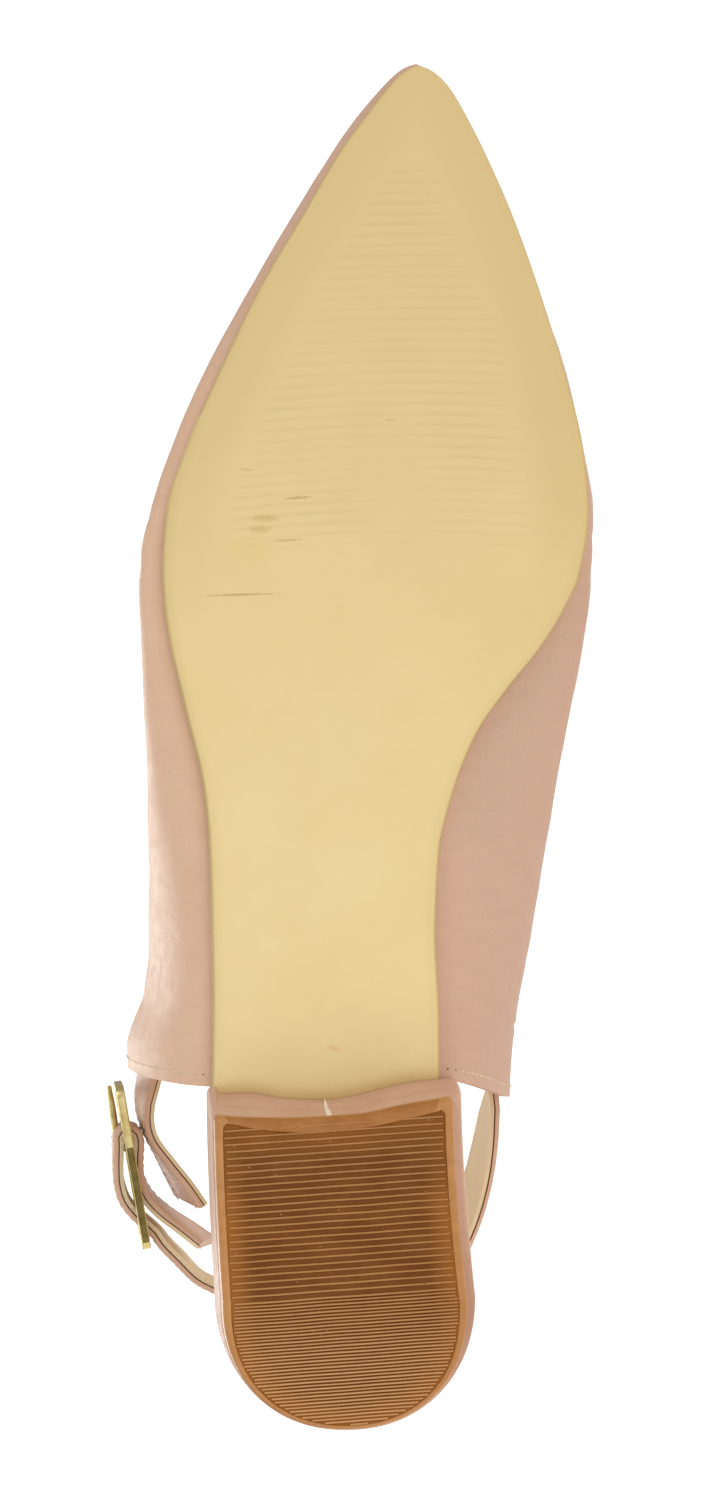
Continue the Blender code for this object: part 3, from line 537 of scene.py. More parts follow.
def threadFinish(name, colour, deep):
    f = Finish(name)
    spot = f.shoeSpace()
    twist = f.node("TexWave", {"wave_type": "BANDS", "bands_direction": "DIAGONAL"}, {
        "Vector": spot, "Scale": 2.2, "Distortion": 0.6,
    }, out=1)
    tone = f.mix(twist, deep, colour)
    return f.finishWith({
        "Base Color": tone, "Roughness": 0.6, "Normal": f.bump(twist, 0.05), "Specular IOR Level": 0.35,
    })


def plainDark(name, colour):
    f = Finish(name)
    spot = f.shoeSpace()
    cloud = f.noise(spot, 1.5, 3.0, 0.6)
    tone = f.mix(cloud, colour, tuple(c * 0.5 for c in colour))
    return f.finishWith({"Base Color": tone, "Roughness": 0.8, "Normal": f.bump(cloud, 0.03)})


# the sides colours paint shade on the inner wall and light on the outer wall
pink = leatherFinish(
    "upperLeather", (0.665, 0.420, 0.300), (0.625, 0.385, 0.272), (0.705, 0.465, 0.340),
    pleats=0.045, sides=((0.580, 0.378, 0.270), (0.730, 0.470, 0.308)))
heelPink = leatherFinish(
    "heelLeather", (0.60, 0.365, 0.250), (0.52, 0.295, 0.190), (0.67, 0.43, 0.305), pleats=0.035)
strapPink = leatherFinish("strapLeather", (0.65, 0.405, 0.280), (0.56, 0.325, 0.215), (0.70, 0.46, 0.33))
beige = liningFinish("liningLeather", (0.80, 0.64, 0.43), (0.75, 0.58, 0.375))
sock = liningFinish("sockLeather", (0.79, 0.63, 0.43), (0.73, 0.565, 0.37))
cream = soleFinish()
# the field between the ribs is the same rubber as the ribs, painted far darker: painted shade in the troughs
brown = wearFinish(
    "wearBrown", (0.170, 0.055, 0.008), (0.215, 0.076, 0.013), (0.40, 0.150, 0.024),
    glow=0.75, reach=(1.9, 7.5))
brownRib = wearFinish(
    "wearRib", (0.40, 0.190, 0.068), (0.46, 0.235, 0.092), (0.50, 0.22, 0.06), glow=0.5, rear=0.6)
brownRim = wearFinish(
    "wearRim", (0.44, 0.195, 0.055), (0.52, 0.25, 0.085), (0.47, 0.205, 0.058),
    rough=0.3, glow=0.4, gloss=0.4)
brownLip = wearFinish(
    "wearLip", (0.33, 0.125, 0.030), (0.41, 0.180, 0.055), (0.38, 0.15, 0.04),
    rough=0.34, glow=0.3, gloss=0.18)
gilt = giltFinish("paleGilt", (0.56, 0.44, 0.175), (0.70, 0.585, 0.28), 0.26)
# dark gilt for the rails' side faces: a painted reflection, not a duller finish
reflectionGilt = giltFinish("paintedReflectionGilt", (0.13, 0.095, 0.03), (0.20, 0.15, 0.052), 0.3)
creamThread = threadFinish("creamThread", (0.86, 0.77, 0.56), (0.66, 0.54, 0.33))
pinkThread = threadFinish("pinkThread", (0.74, 0.53, 0.40), (0.56, 0.37, 0.26))
# needle holes are dark beads: their dark is painted shade inside empty holes
needleHole = plainDark("needleHole", (0.10, 0.045, 0.025))
seamDark = plainDark("seamDark", (0.30, 0.135, 0.045))
paleSeam = liningFinish("paleSeam", (0.86, 0.77, 0.64), (0.74, 0.61, 0.47))
print("materials made")


def bodyFrom(name, points, faces, materials, faceLooks=None, numbers=None):
    # mesh from shoe millimetres, welded, with numbers kept on its points
    mesh = bpy.data.meshes.new(name)
    mesh.from_pydata([tuple(p) for p in points], [], faces)
    for look in materials:
        mesh.materials.append(look)
    if faceLooks:
        mesh.polygons.foreach_set("material_index", faceLooks)
    for key, values in (numbers or {}).items():
        mesh.attributes.new(key, "FLOAT", "POINT").data.foreach_set("value", values)
    bm = bmesh.new()
    bm.from_mesh(mesh)
    bmesh.ops.remove_doubles(bm, verts=bm.verts, dist=0.004)
    bmesh.ops.dissolve_degenerate(bm, dist=0.004, edges=bm.edges)
    bmesh.ops.recalc_face_normals(bm, faces=bm.faces)
    bm.to_mesh(mesh)
    bm.free()
    mesh.transform(place)
    mesh.shade_smooth()
    return addObject(name, mesh)


def gridFaces(rows, columns, start=0, closed=False):
    faces = []
    for i in range(rows - 1):
        for j in range(columns if closed else columns - 1):
            k = (j + 1) % columns
            a = start + i * columns
            faces.append((a + j, a + k, a + columns + k, a + columns + j))
    return faces


def tubeFaces(rows, columns):
    # closed rings joined into a tube, with a cap at each end last
    caps = [tuple(range(columns)), tuple(range((rows - 1) * columns, rows * columns))]
    return gridFaces(rows, columns, closed=True) + caps


def settle(body):
    # the evaluated piece as a plain mesh, modifiers gone
    bpy.context.view_layer.update()
    graph = bpy.context.evaluated_depsgraph_get()
    plain = bpy.data.meshes.new_from_object(
        body.evaluated_get(graph), preserve_all_data_layers=True, depsgraph=graph)
    body.modifiers.clear()
    old = body.data
    body.data = plain
    bpy.data.meshes.remove(old)


def sharpen(body, angle):
    # hard edges over the angle stay crisp under smooth shading
    mesh = body.data
    bm = bmesh.new()
    bm.from_mesh(mesh)
    for e in bm.edges:
        e.smooth = not (len(e.link_faces) == 2 and e.calc_face_angle(0) > math.radians(angle))
    bm.to_mesh(mesh)
    bm.free()
    return body


def wave(x, y, z, size, seed=0.0):
    return noise.noise(Vector((x / size + seed, y / size - seed * 0.7, z / size + seed * 1.3)))


# Sole: edge roll, faint moulded ridges under the ball, wavy end that rolls down to the breast
sole = {
    "ridgePitch": 2.115, "ridgeDepth": 0.13, "ridgeFrom": 170.5, "ridgeTo": 258.5, "ridgeInset": 10.5,
    "edgeRoll": 1.1, "edgeLift": 0.7, "endRoll": 0.9, "endLength": 4.0, "endWarp": 12.0,
    "ridgeStep": 0.3, "endStep": 0.7, "waistStep": 1.6,
}


def soleStations():
    ys = [soleTip - 0.05, soleTip - 0.35]
    y = ys[-1]
    while y > shoe["soleEnd"]:
        step = sole["waistStep"]
        if sole["ridgeFrom"] - 4 < y < sole["ridgeTo"] + 2:
            step = sole["ridgeStep"]
        elif y > sole["ridgeTo"] or y < shoe["soleEnd"] + 8:
            step = sole["endStep"]
        y -= step
        ys.append(max(y, shoe["soleEnd"]))
    return ys


def soleRidge(x, y):
    # 0 to 1 over the ridged field, each ridge slightly arched and higher on the inner side
    outX, inX = soleX(outer, y) - sole["ridgeInset"], soleX(inner, y) + sole["ridgeInset"] * 0.9
    middle, half = (outX + inX) / 2, (outX - inX) / 2
    if half < 1:
        return 0.0
    patchy = 0.75 + 0.7 * wave(x, y, 0, 16, 6.0)
    field = ease((half - abs(x - middle)) / 3.5)
    field *= ease((y - sole["ridgeFrom"]) / 9) * ease((sole["ridgeTo"] - y) / 9)
    line = y + 0.024 * x + 0.0016 * (x - middle) ** 2 + 0.12 * wave(x, y, 0, 7, 2.2)
    return field * patchy * (0.5 + 0.5 * math.cos(2 * math.pi * line / sole["ridgePitch"])) ** 2


def buildSole():
    points, edges, ridges = [], [], []
    ys = soleStations()
    shares = [0.0, 0.012, 0.03, 0.055, 0.09] + list(np.linspace(0.13, 0.87, 30))
    shares += [0.91, 0.945, 0.97, 0.988, 1.0]
    for y in ys:
        outX, inX = soleX(outer, y), soleX(inner, y)
        half = max(0.02, (outX - inX) / 2)
        back = max(0.0, 1 - (y - shoe["soleEnd"]) / sole["endWarp"])
        roll = min(sole["edgeRoll"], half * 0.35)
        lift = min(sole["edgeLift"], half * 0.25)
        row = []
        for s in shares:
            x = outX + (inX - outX) * s
            at = y + back * (breastLine(x) - shoe["soleEnd"])
            near = min(s, 1 - s) * 2 * half
            t = min(1.0, near / roll)
            z = treadZ(at) + lift * (1 - math.sqrt(max(0.0, 1 - (1 - t) ** 2)))
            ridge = soleRidge(x, at)
            z += 0.06 * wave(x, at, 0, 14, 1.7) * ease(near / 3) - ridge * sole["ridgeDepth"]
            ending = max(0.0, 1 - (at - breastLine(x)) / sole["endLength"])
            z += sole["endRoll"] * ending ** 2.5
            row.append((x, at, z, min(near, (at - breastLine(x)) * 0.8 + 0.3), ridge))
        for s in (1.0, 0.66, 0.33, 0.0):
            x = outX + (inX - outX) * s
            at = y + back * (breastLine(x) - shoe["soleEnd"])
            under, over = treadZ(at) + shoe["sole"] * 0.62, treadZ(at) + shoe["sole"]
            for z in ((under, over) if s == 1.0 else (over, under) if s == 0.0 else (over,)):
                row.append((x, at, z, -0.4, 0.0))
        points += [p[:3] for p in row]
        edges += [p[3] for p in row]
        ridges += [p[4] for p in row]
    faces = tubeFaces(len(ys), len(points) // len(ys))
    body = bodyFrom("cream_sole", points, faces, [cream], numbers={"edge": edges, "ridge": ridges})
    return sharpen(body, 50)


creamSole = buildSole()
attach(creamSole, "root")
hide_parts("outsole")
print("sole built")

# Upper: one wall, leather outside and lining inside, with its creases listed
upper = {"tipRows": 90, "backRows": 150, "low": 12, "high": 20, "rimRound": 0.55, "wallTall": 40.0}
# Creases: side, y, share up the wall, length up the wall, width, depth
wallCreases = [
    (inner, 176.0, 0.42, 14.0, 1.6, 0.16),
    (inner, 169.0, 0.55, 18.0, 2.0, 0.22),
    (inner, 160.5, 0.48, 14.0, 1.6, 0.15),
    (inner, 75.8, 0.22, 7.0, 0.8, 0.30),
    (outer, 172.0, 0.50, 18.0, 1.9, 0.20),
    (outer, 163.0, 0.60, 15.0, 1.7, 0.18),
    (outer, 180.5, 0.45, 13.0, 1.6, 0.14),
    (outer, 84.0, 0.35, 12.0, 2.2, 0.16),
    (inner, 92.0, 0.40, 13.0, 2.4, 0.16),
]
# Flex creases across the vamp behind the toes: y at the middle, half width, bow, width, depth
vampCreases = [
    (203.0, 20.0, -5.0, 2.0, 0.45),
    (211.5, 17.0, -4.0, 1.8, 0.35),
    (219.0, 13.0, -3.0, 1.6, 0.25),
]


def creaseDepth(side, p, height):
    # how far the wall sinks at a point, in millimetres, ridges beside each trough
    sink = 0.0
    for creaseSide, y, share, length, width, depth in wallCreases:
        if creaseSide == side:
            bend = 1.2 * math.sin(height * 6 + y)
            d = (p.y - y - bend) / width
            along = (height - share) * upper["wallTall"] / length
            if abs(d) < 3 and abs(along) < 1.5:
                trough = math.exp(-d * d) - 0.45 * math.exp(-(abs(d) - 1.6) ** 2)
                sink += depth * math.exp(-along * along * 3) * trough
    middle = (widePoint(outer, p.y).x + widePoint(inner, p.y).x) / 2
    for y, half, bow, width, depth in vampCreases:
        t = (p.x - middle) / half
        if abs(t) < 1.6 and height > 0.5:
            d = (p.y - y - bow * t * t) / width
            if abs(d) < 3:
                trough = math.exp(-d * d) - 0.4 * math.exp(-(abs(d) - 1.6) ** 2)
                sink += depth * math.exp(-t ** 4) * trough
    return sink


def behindThroat(t):
    return 0.45 * t + 0.55 * ease(t)


def upperColumn(side, i):
    tip, back = upper["tipRows"], upper["backRows"]
    if i <= tip:
        t = i / tip
        share, way = 0.0, 0.62 * t * t + 0.38 * t
    else:
        share, way = behindThroat((i - tip) / back), None

    def rowY(tipY, backY):
        return tipY - (tipY - throatY) * way if way is not None else throatY - (throatY - backY) * share

    end = shoe["soleEnd"] + frontLine(soleX(side, shoe["soleEnd"])) + shoe["gap"]
    low = featherPoint(side, rowY(featherTip, end))
    wide = widePoint(side, rowY(wallTip, backEdge[side]))
    ridge = ridgePoint(rowY(wallTip - 2.6, backEdge[side]))
    middle = shoe["ball"] * soleCurve[side](1.0) if i == 0 else (
        featherPoint(outer, low.y).x + featherPoint(inner, low.y).x) / 2
    turnIn = abs(low.x - middle)
    turnIn = turnIn if i <= tip * 4 // 15 else min(7.0, 0.62 * turnIn)
    column = [Vector((low.x - side * turnIn * k, low.y, low.z)) for k in (1.0, 0.5, 0.15)]
    heights = [0.0] * 3
    for j in range(upper["low"] + 1):
        column.append(lowerArc(low, wide, math.pi / 2 * j / upper["low"]))
        heights.append(0.3 * j / upper["low"])
    half = openCurve(math.sqrt(share))
    last = math.acos(half ** (1 / crownRound)) if half > 0 else math.pi / 2
    for j in range(1, upper["high"] + 1):
        column.append(upperArc(wide, ridge, last * j / upper["high"]))
        heights.append(0.3 + 0.7 * (last * j / upper["high"]) / (math.pi / 2))
    return column, heights


def buildUpper():
    columns = 3 + upper["low"] + 1 + upper["high"]
    rows = upper["tipRows"] + upper["backRows"] + 1
    points, pleats = [], []
    wallGrids = {}
    for side in (outer, inner):
        grid, tall = [], []
        for i in range(rows):
            column, heights = upperColumn(side, i)
            grid.append(column)
            tall.append(heights)
        wallGrids[side] = [column[3:] for column in grid]
        for i in range(rows):
            for j in range(columns):
                p = grid[i][j]
                a = grid[min(rows - 1, i + 1)][j] - grid[max(0, i - 1)][j]
                b = grid[i][min(columns - 1, j + 1)] - grid[i][max(0, j - 1)]
                normal = b.cross(a) * side
                normal = normal.normalized() if normal.length > 1e-6 else Vector((0, 0, 0))
                calm = 1.0 if upper["tipRows"] < i or j < columns - 2 else 0.6
                sink = creaseDepth(side, p, tall[i][j]) if j > 4 else 0.0
                soft = 0.0
                if j > 3:
                    soft = 0.22 * wave(p.x, p.y, p.z, 17, 5.0) + 0.08 * wave(p.x, p.y, p.z, 5, 9.0)
                onSeam = i == 0 or (i <= upper["tipRows"] and j == columns - 1)
                shift = (soft - sink) * calm
                if onSeam:
                    shift = soft * 0.5
                    normal = Vector((0, 0, 1)) if i else Vector((0, 1, 0))
                points.append(p + normal * shift)
                pleats.append(max(0.0, 1 - max(0.0, tall[i][j] - 0.02) / 0.42) if j > 2 else 0.3)
    faces = gridFaces(rows, columns) + gridFaces(rows, columns, start=rows * columns)
    body = bodyFrom("leather_upper", points, faces, [pink, beige], numbers={"pleat": pleats})
    probe = max(body.data.polygons, key=lambda f: (place.inverted() @ f.center).x)
    if (turned.transposed() @ probe.normal).x < 0:
        body.data.flip_normals()
    wall = body.modifiers.new("wall", "SOLIDIFY")
    wall.thickness = shoe["wall"] * mm
    wall.offset = 0
    wall.use_even_offset = True
    wall.thickness_clamp = 0.0
    wall.material_offset = 1
    settle(body)
    soften = body.modifiers.new("rim", "BEVEL")
    soften.width = upper["rimRound"] * mm
    soften.segments = 2
    soften.limit_method = "ANGLE"
    soften.angle_limit = math.radians(55)
    settle(body)
    for corner in body.data.vertices:
        corner.co.z = max(corner.co.z, 0.00003)
    body.data.shade_smooth()
    return body, wallGrids


leatherUpper, wallGrids = buildUpper()
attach(leatherUpper, "root")
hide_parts("upper")
print("upper built", len(leatherUpper.data.polygons))

# Heel block in stretched leather and its ribbed wear piece, from one outline
heel = {
    "arc": 60, "sides": 12, "front": 60, "cornerSteps": 5, "corner": 1.4, "seatCorner": 2.0,
    "topPiece": 3.8, "flareOut": 0.5, "seamAt": 2.8, "seamWidth": 1.3,
    "sideBlend": 1.6, "cornerSquash": 0.9, "steps": 26,
}


def heelOutline(growOut, growIn, front, corner, waves=0.0, seed=0.0):
    # front is a curve across the heel; the sides grow each by their own amount
    cx, cy = shoe["heelMiddle"], shoe["heelRadius"]
    outX = shoe["frontMiddle"] + shoe["frontHalf"] + growOut
    inX = shoe["frontMiddle"] - shoe["frontHalf"] - growIn
    yOut, yIn = front(outX), front(inX)
    ring = []
    for i in range(heel["sides"]):
        t = i / heel["sides"]
        y = yOut - corner + (cy - yOut + corner) * t
        ring.append((outX + (cx + shoe["heelRadius"] + growOut - outX) * t ** heel["sideBlend"], y))
    for i in range(heel["arc"] + 1):
        a = math.pi * i / heel["arc"]
        r = shoe["heelRadius"] + growIn + (growOut - growIn) * (1 + math.cos(a)) / 2
        wide = math.copysign(abs(math.cos(a)) ** shoe["heelSquare"], math.cos(a))
        ring.append((cx + r * wide, cy - r * shoe["heelBack"] * max(0.0, math.sin(a)) ** shoe["heelSquare"]))
    for i in range(1, heel["sides"] + 1):
        t = 1 - i / heel["sides"]
        y = yIn - corner + (cy - yIn + corner) * t
        ring.append((inX + (cx - shoe["heelRadius"] - growIn - inX) * t ** heel["sideBlend"], y))
    turn, squash = heel["cornerSteps"], heel["cornerSquash"]
    for i in range(1, turn):
        a = math.pi / 2 * i / turn
        ring.append((inX + corner * (1 - math.cos(a)), yIn - corner * (1 - math.sin(a)) * squash))
    for i in range(heel["front"] + 1):
        x = inX + corner + (outX - inX - 2 * corner) * i / heel["front"]
        ring.append((x, front(x) + waves * wave(x, seed, 0, 4.2, seed)))
    for i in range(turn - 1, 0, -1):
        a = math.pi / 2 * i / turn
        ring.append((outX - corner * (1 - math.cos(a)), yOut - corner * (1 - math.sin(a)) * squash))
    return ring


def outlineDistance(ring):
    # signed away from an outline, as a callable on x, y
    p = np.array(ring)
    q = np.roll(p, -1, axis=0)
    d = q - p
    length = (d ** 2).sum(1) + 1e-9

    def away(x, y):
        v = np.array((x, y)) - p
        t = np.clip((v * d).sum(1) / length, 0, 1)
        gap = np.hypot(*(v - d * t[:, None]).T).min()
        crossings = ((p[:, 1] > y) != (q[:, 1] > y)) & (
            x < (q[:, 0] - p[:, 0]) * (y - p[:, 1]) / (q[:, 1] - p[:, 1] + 1e-12) + p[:, 0])
        return gap if crossings.sum() % 2 else -gap

    return away


def loft(name, rings, heights, materials, looks=None, numbers=None, sharp=50):
    # rings of one count joined into a closed body; looks give each face its material, caps last
    points = []
    for ring, h in zip(rings, heights):
        points += [(x, y, h(x, y) if callable(h) else h) for x, y in ring]
    faces = tubeFaces(len(rings), len(rings[0]))
    return sharpen(bodyFrom(name, points, faces, materials, looks, numbers), sharp)


def breastAt(t):
    # front of the block between the lip, t 0, and the sole's end, t 1: a fold above a soft roll
    fold = -0.55 * math.exp(-((t - 0.52) / 0.11) ** 2) + 0.35 * math.exp(-((t - 0.30) / 0.14) ** 2)
    fold += 0.30 * math.exp(-((t - 0.76) / 0.12) ** 2)

    def front(x):
        sway = 0.5 + 0.9 * wave(x, 0, 0, 9, 3.3)
        shoulder = 1.6 * ease((x - 24.2) / 1.6)
        end = breastLine(x) + 0.12 + shoulder
        start = lipLine(x) - 0.5
        return start + (end - start) * t ** 0.9 + fold * sway * (1 - ease((abs(x) - 20) / 5))

    return front


def buildHeelBlock():
    base = heel["topPiece"] + shoe["gap"]
    top = shoe["rise"]
    rings, heights, pleats = [], [], []
    for k in range(heel["steps"] + 1):
        t = k / heel["steps"]
        bulge = 0.25 * math.sin(math.pi * t)
        growIn = 0.2 + (shoe["flare"] - 0.2) * t ** 0.85 + bulge
        growOut = 0.1 + (heel["flareOut"] - 0.1) * t
        corner = heel["corner"] + (heel["seatCorner"] - heel["corner"]) * t
        waves = 0.5 * math.sin(math.pi * min(1.0, t * 1.15))
        rings.append(heelOutline(growOut, growIn, breastAt(t), corner, waves=waves, seed=2.0 + t * 0.9))
        heights.append(base + (top - base) * t)
    seatFront = breastAt(1.0)
    rings.append(heelOutline(heel["flareOut"], shoe["flare"], seatFront, heel["seatCorner"]))
    heights.append(lambda x, y: insoleZ(y) - shoe["gap"])
    # rolled lower edge
    rings.insert(0, heelOutline(-0.5, -0.4, breastAt(0.0), heel["corner"]))
    heights.insert(0, base)
    heights[1] = base + 0.35
    for k in range(len(rings)):
        t = k / (len(rings) - 1)
        for x, y in rings[k]:
            pleats.append(0.15 + 0.3 * ease((y - 38) / 20) * math.sin(math.pi * min(1, 0.2 + t * 0.8)))
    return loft("heel_block", rings, heights, [heelPink], numbers={"pleat": pleats}, sharp=60)


def buildBreastSeam():
    # pale sliver where the wrapped leather meets at the middle of the breast
    rows, sides = 12, 8
    base, top = heel["topPiece"] + shoe["gap"], shoe["rise"]
    points = []
    for k in range(rows + 1):
        t = 0.02 + 0.94 * k / rows
        width = heel["seamWidth"] * (1.0 - 0.85 * t ** 1.5) / 2
        middle = heel["seamAt"] + 0.25 * math.sin(2.4 * t)
        y = breastAt(t)(middle) + 0.12
        for j in range(sides):
            a = 2 * math.pi * j / sides
            points.append((middle + width * math.cos(a), y + 0.28 * math.sin(a), base + (top - base) * t))
    return bodyFrom("breast_seam", points, tubeFaces(rows + 1, sides), [paleSeam])


heelBlock = buildHeelBlock()
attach(heelBlock, "root")
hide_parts("heel")
breastSeam = buildBreastSeam()
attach(breastSeam, "root")
print("heel built")

topPiece = {
    "innerSpare": 1.5, "rearSpare": 0.6, "rimWidth": 1.25, "rearRim": 0.45, "fieldDepth": 0.45,
    "tilt": -0.0625, "firstRib": 57.96, "lastRib": -2.0, "pitch": 1.374, "doubleBelow": 26.5,
    "ribWidth": 0.39, "rearWidth": 0.33, "ribHeight": 0.40, "ribSpare": 0.65, "ribStep": 0.5,
}


def lipToRib(t, back):
    # front line of the wear piece between its lip, t 0, and the first rib, t 1
    return lambda x: lipLine(x) + (ribLine(x) - lipLine(x)) * t - back


def fieldOutline(grow, t, back):
    # the rim narrows from the sides to the rear
    onRim = min(1.0, max(0.0, -0.5 - grow) / topPiece["rimWidth"])
    spare = (topPiece["rimWidth"] - topPiece["rearRim"]) * onRim
    wide, narrow = [
        heelOutline(grow + more, grow + more - inward, lipToRib(t, back), heel["corner"])
        for more, inward in ((0.0, topPiece["innerSpare"]), (spare, topPiece["rearSpare"]))
    ]
    shares = [ease((27 - y) / 24) for x, y in wide]
    return [(a[0] + (b[0] - a[0]) * h, a[1] + (b[1] - a[1]) * h) for a, b, h in zip(wide, narrow, shares)]


def buildTopPiece():
    # rings from the top down the side, over the lip and rim and into the ribbed field
    rim, depth = topPiece["rimWidth"], topPiece["fieldDepth"]
    # growth, share of the way from the lip to the first rib, height, way back from it
    steps = [
        (0.0, 0.0, heel["topPiece"], 0.0), (0.0, 0.0, 1.7, 0.0), (-0.06, 0.05, 1.05, 0.0),
        (-0.16, 0.16, 0.62, 0.0), (-0.32, 0.34, 0.30, 0.0), (-0.50, 0.56, 0.10, 0.0),
        (-0.75, 0.80, 0.0, 0.0), (-0.5 - rim * 0.55, 0.93, 0.02, 0.0), (-0.5 - rim, 1.0, 0.12, 0.0),
        (-0.72 - rim, 1.0, depth, 0.25),
        (-3.0, 1.0, depth, 2.4), (-5.5, 1.0, depth, 4.8), (-9.0, 1.0, depth, 8.0),
    ]
    rings = [fieldOutline(grow, t, back) for grow, t, h, back in steps]
    heights = [h for grow, t, h, back in steps]
    n = len(rings[0])
    edges = [max(0.0, -grow) for grow, t, h, back in steps for j in range(n)]
    looks = []
    rimLook, lipLook, fieldLook = range(3)
    lipFrom, lipTo, fieldFrom = n - heel["front"] - heel["cornerSteps"] + 2, n - 6, 8
    for k in range(len(rings) - 1):
        for j in range(n):
            look = lipLook if k and lipFrom <= j < lipTo else rimLook
            looks.append(fieldLook if k >= fieldFrom else look)
    looks += [rimLook, fieldLook]
    return loft("wear_piece", rings, heights, [brownRim, brownLip, brown], looks, {"edge": edges}, sharp=40)


wearPiece = buildTopPiece()
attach(wearPiece, "root")
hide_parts("top_piece")


# Geometry Nodes: paths swept with a small profile, and stitches set along paths
class Tree:
    def __init__(self, name, lengths):
        # lengths are the named sizes in metres with their first values
        self.group = bpy.data.node_groups.new(name, "GeometryNodeTree")
        face = self.group.interface
        face.new_socket("Geometry", in_out="INPUT", socket_type="NodeSocketGeometry")
        self.ids = {}
        for key, value in lengths.items():
            socket = face.new_socket(key, in_out="INPUT", socket_type="NodeSocketFloat")
            socket.default_value = value
            self.ids[key] = socket.identifier
        look = face.new_socket("Material", in_out="INPUT", socket_type="NodeSocketMaterial")
        self.ids["Material"] = look.identifier
        face.new_socket("Geometry", in_out="OUTPUT", socket_type="NodeSocketGeometry")
        self.start = self.group.nodes.new("NodeGroupInput")
        self.end = self.group.nodes.new("NodeGroupOutput")

    def node(self, kind, settings=None, sockets=None):
        made = self.group.nodes.new(kind)
        for key, value in (settings or {}).items():
            setattr(made, key, value)
        for key, value in (sockets or {}).items():
            if isinstance(value, bpy.types.NodeSocket):
                self.group.links.new(value, made.inputs[key])
            else:
                made.inputs[key].default_value = value
        return made

    def given(self, key):
        return self.start.outputs[key]

    def standingCurve(self):
        # the paths as curves, whose normals are the outward directions kept on their points
        curve = self.node("GeometryNodeMeshToCurve", {}, {"Mesh": self.given("Geometry")})
        stand = self.node("GeometryNodeInputNamedAttribute", {"data_type": "FLOAT_VECTOR"}, {
            "Name": "stand",
        })
        return self.node("GeometryNodeSetCurveNormal", {"mode": "FREE"}, {
            "Curve": curve.outputs[0], "Normal": stand.outputs[0],
        })

    def finish(self, made):
        real = self.node("GeometryNodeRealizeInstances", {}, {"Geometry": made.outputs[0]})
        smooth = self.node("GeometryNodeSetShadeSmooth", {}, {"Geometry": real.outputs[0]})
        look = self.node("GeometryNodeSetMaterial", {}, {
            "Geometry": smooth.outputs[0], "Material": self.given("Material"),
        })
        self.group.links.new(look.outputs[0], self.end.inputs[0])
        return self


def ribTree():
    t = Tree("ribsAlongPaths", {"Width": 0.0005, "Height": 0.0004})
    curve = t.standingCurve()
    ring = t.node("GeometryNodeCurvePrimitiveCircle", {"mode": "RADIUS"}, {"Resolution": 8, "Radius": 0.5})
    size = t.node("ShaderNodeCombineXYZ", {}, {"X": t.given("Height"), "Y": t.given("Width"), "Z": 1.0})
    flat = t.node("GeometryNodeTransform", {}, {"Geometry": ring.outputs[0], "Scale": size.outputs[0]})
    return t.finish(t.node("GeometryNodeCurveToMesh", {}, {
        "Curve": curve.outputs[0], "Profile Curve": flat.outputs[0], "Fill Caps": True,
    }))


def stitchTree():
    t = Tree("stitchesAlongPaths", {"Pitch": 0.0016, "Length": 0.0011, "Radius": 0.00022})
    curve = t.standingCurve()
    dots = t.node("GeometryNodeCurveToPoints", {"mode": "LENGTH"}, {
        "Curve": curve.outputs[0], "Length": t.given("Pitch"),
    })
    ball = t.node("GeometryNodeMeshUVSphere", {}, {"Segments": 8, "Rings": 6, "Radius": 1.0})
    half = t.node("ShaderNodeMath", {"operation": "MULTIPLY"}, {0: t.given("Length"), 1: 0.5})
    size = t.node("ShaderNodeCombineXYZ", {}, {
        "X": t.given("Radius"), "Y": t.given("Radius"), "Z": half.outputs[0],
    })
    bead = t.node("GeometryNodeTransform", {}, {"Geometry": ball.outputs[0], "Scale": size.outputs[0]})
    return t.finish(t.node("GeometryNodeInstanceOnPoints", {}, {
        "Points": dots.outputs["Points"], "Instance": bead.outputs[0], "Rotation": dots.outputs["Rotation"],
    }))


ribs, stitches = ribTree(), stitchTree()


def alongPaths(name, tree, paths, material, sizes):
    # paths are lists of (point, outward), and they and the sizes are in shoe millimetres
    points, edges, stands = [], [], []
    for path in paths:
        start = len(points)
        points += [tuple(p) for p, n in path]
        stands += [c for p, n in path for c in (turned @ Vector(n)).normalized()]
        edges += [(start + i, start + i + 1) for i in range(len(path) - 1)]
    mesh = bpy.data.meshes.new(name)
    mesh.from_pydata(points, edges, [])
    mesh.attributes.new("stand", "FLOAT_VECTOR", "POINT").data.foreach_set("vector", stands)
    mesh.transform(place)
    body = addObject(name, mesh)
    maker = body.modifiers.new(name, "NODES")
    maker.node_group = tree.group
    for key, size in sizes.items():
        maker[tree.ids[key]] = size * mm
    maker[tree.ids["Material"]] = material
    settle(body)
    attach(body, "root")


def ribPaths(first):
    # one path across the field for each rib, from the first to the rear
    spare = topPiece["ribSpare"] + topPiece["rimWidth"]
    field = outlineDistance(fieldOutline(-spare, 1.0, 0.3))
    reach, foot = 26.0, topPiece["fieldDepth"] - 0.02
    paths = []
    y0 = first
    while y0 > topPiece["lastRib"]:
        path = []
        for x in np.arange(-reach, reach + 0.01, topPiece["ribStep"]):
            y = y0 + topPiece["tilt"] * x + 0.08 * wave(x, y0, 0, 9, 4.0)
            if field(x, y) > 0.05:
                path.append((Vector((x, y, foot)), Vector((0, 0, -1))))
        if len(path) > 3:
            paths.append(path)
        y0 -= topPiece["pitch"]
    return paths


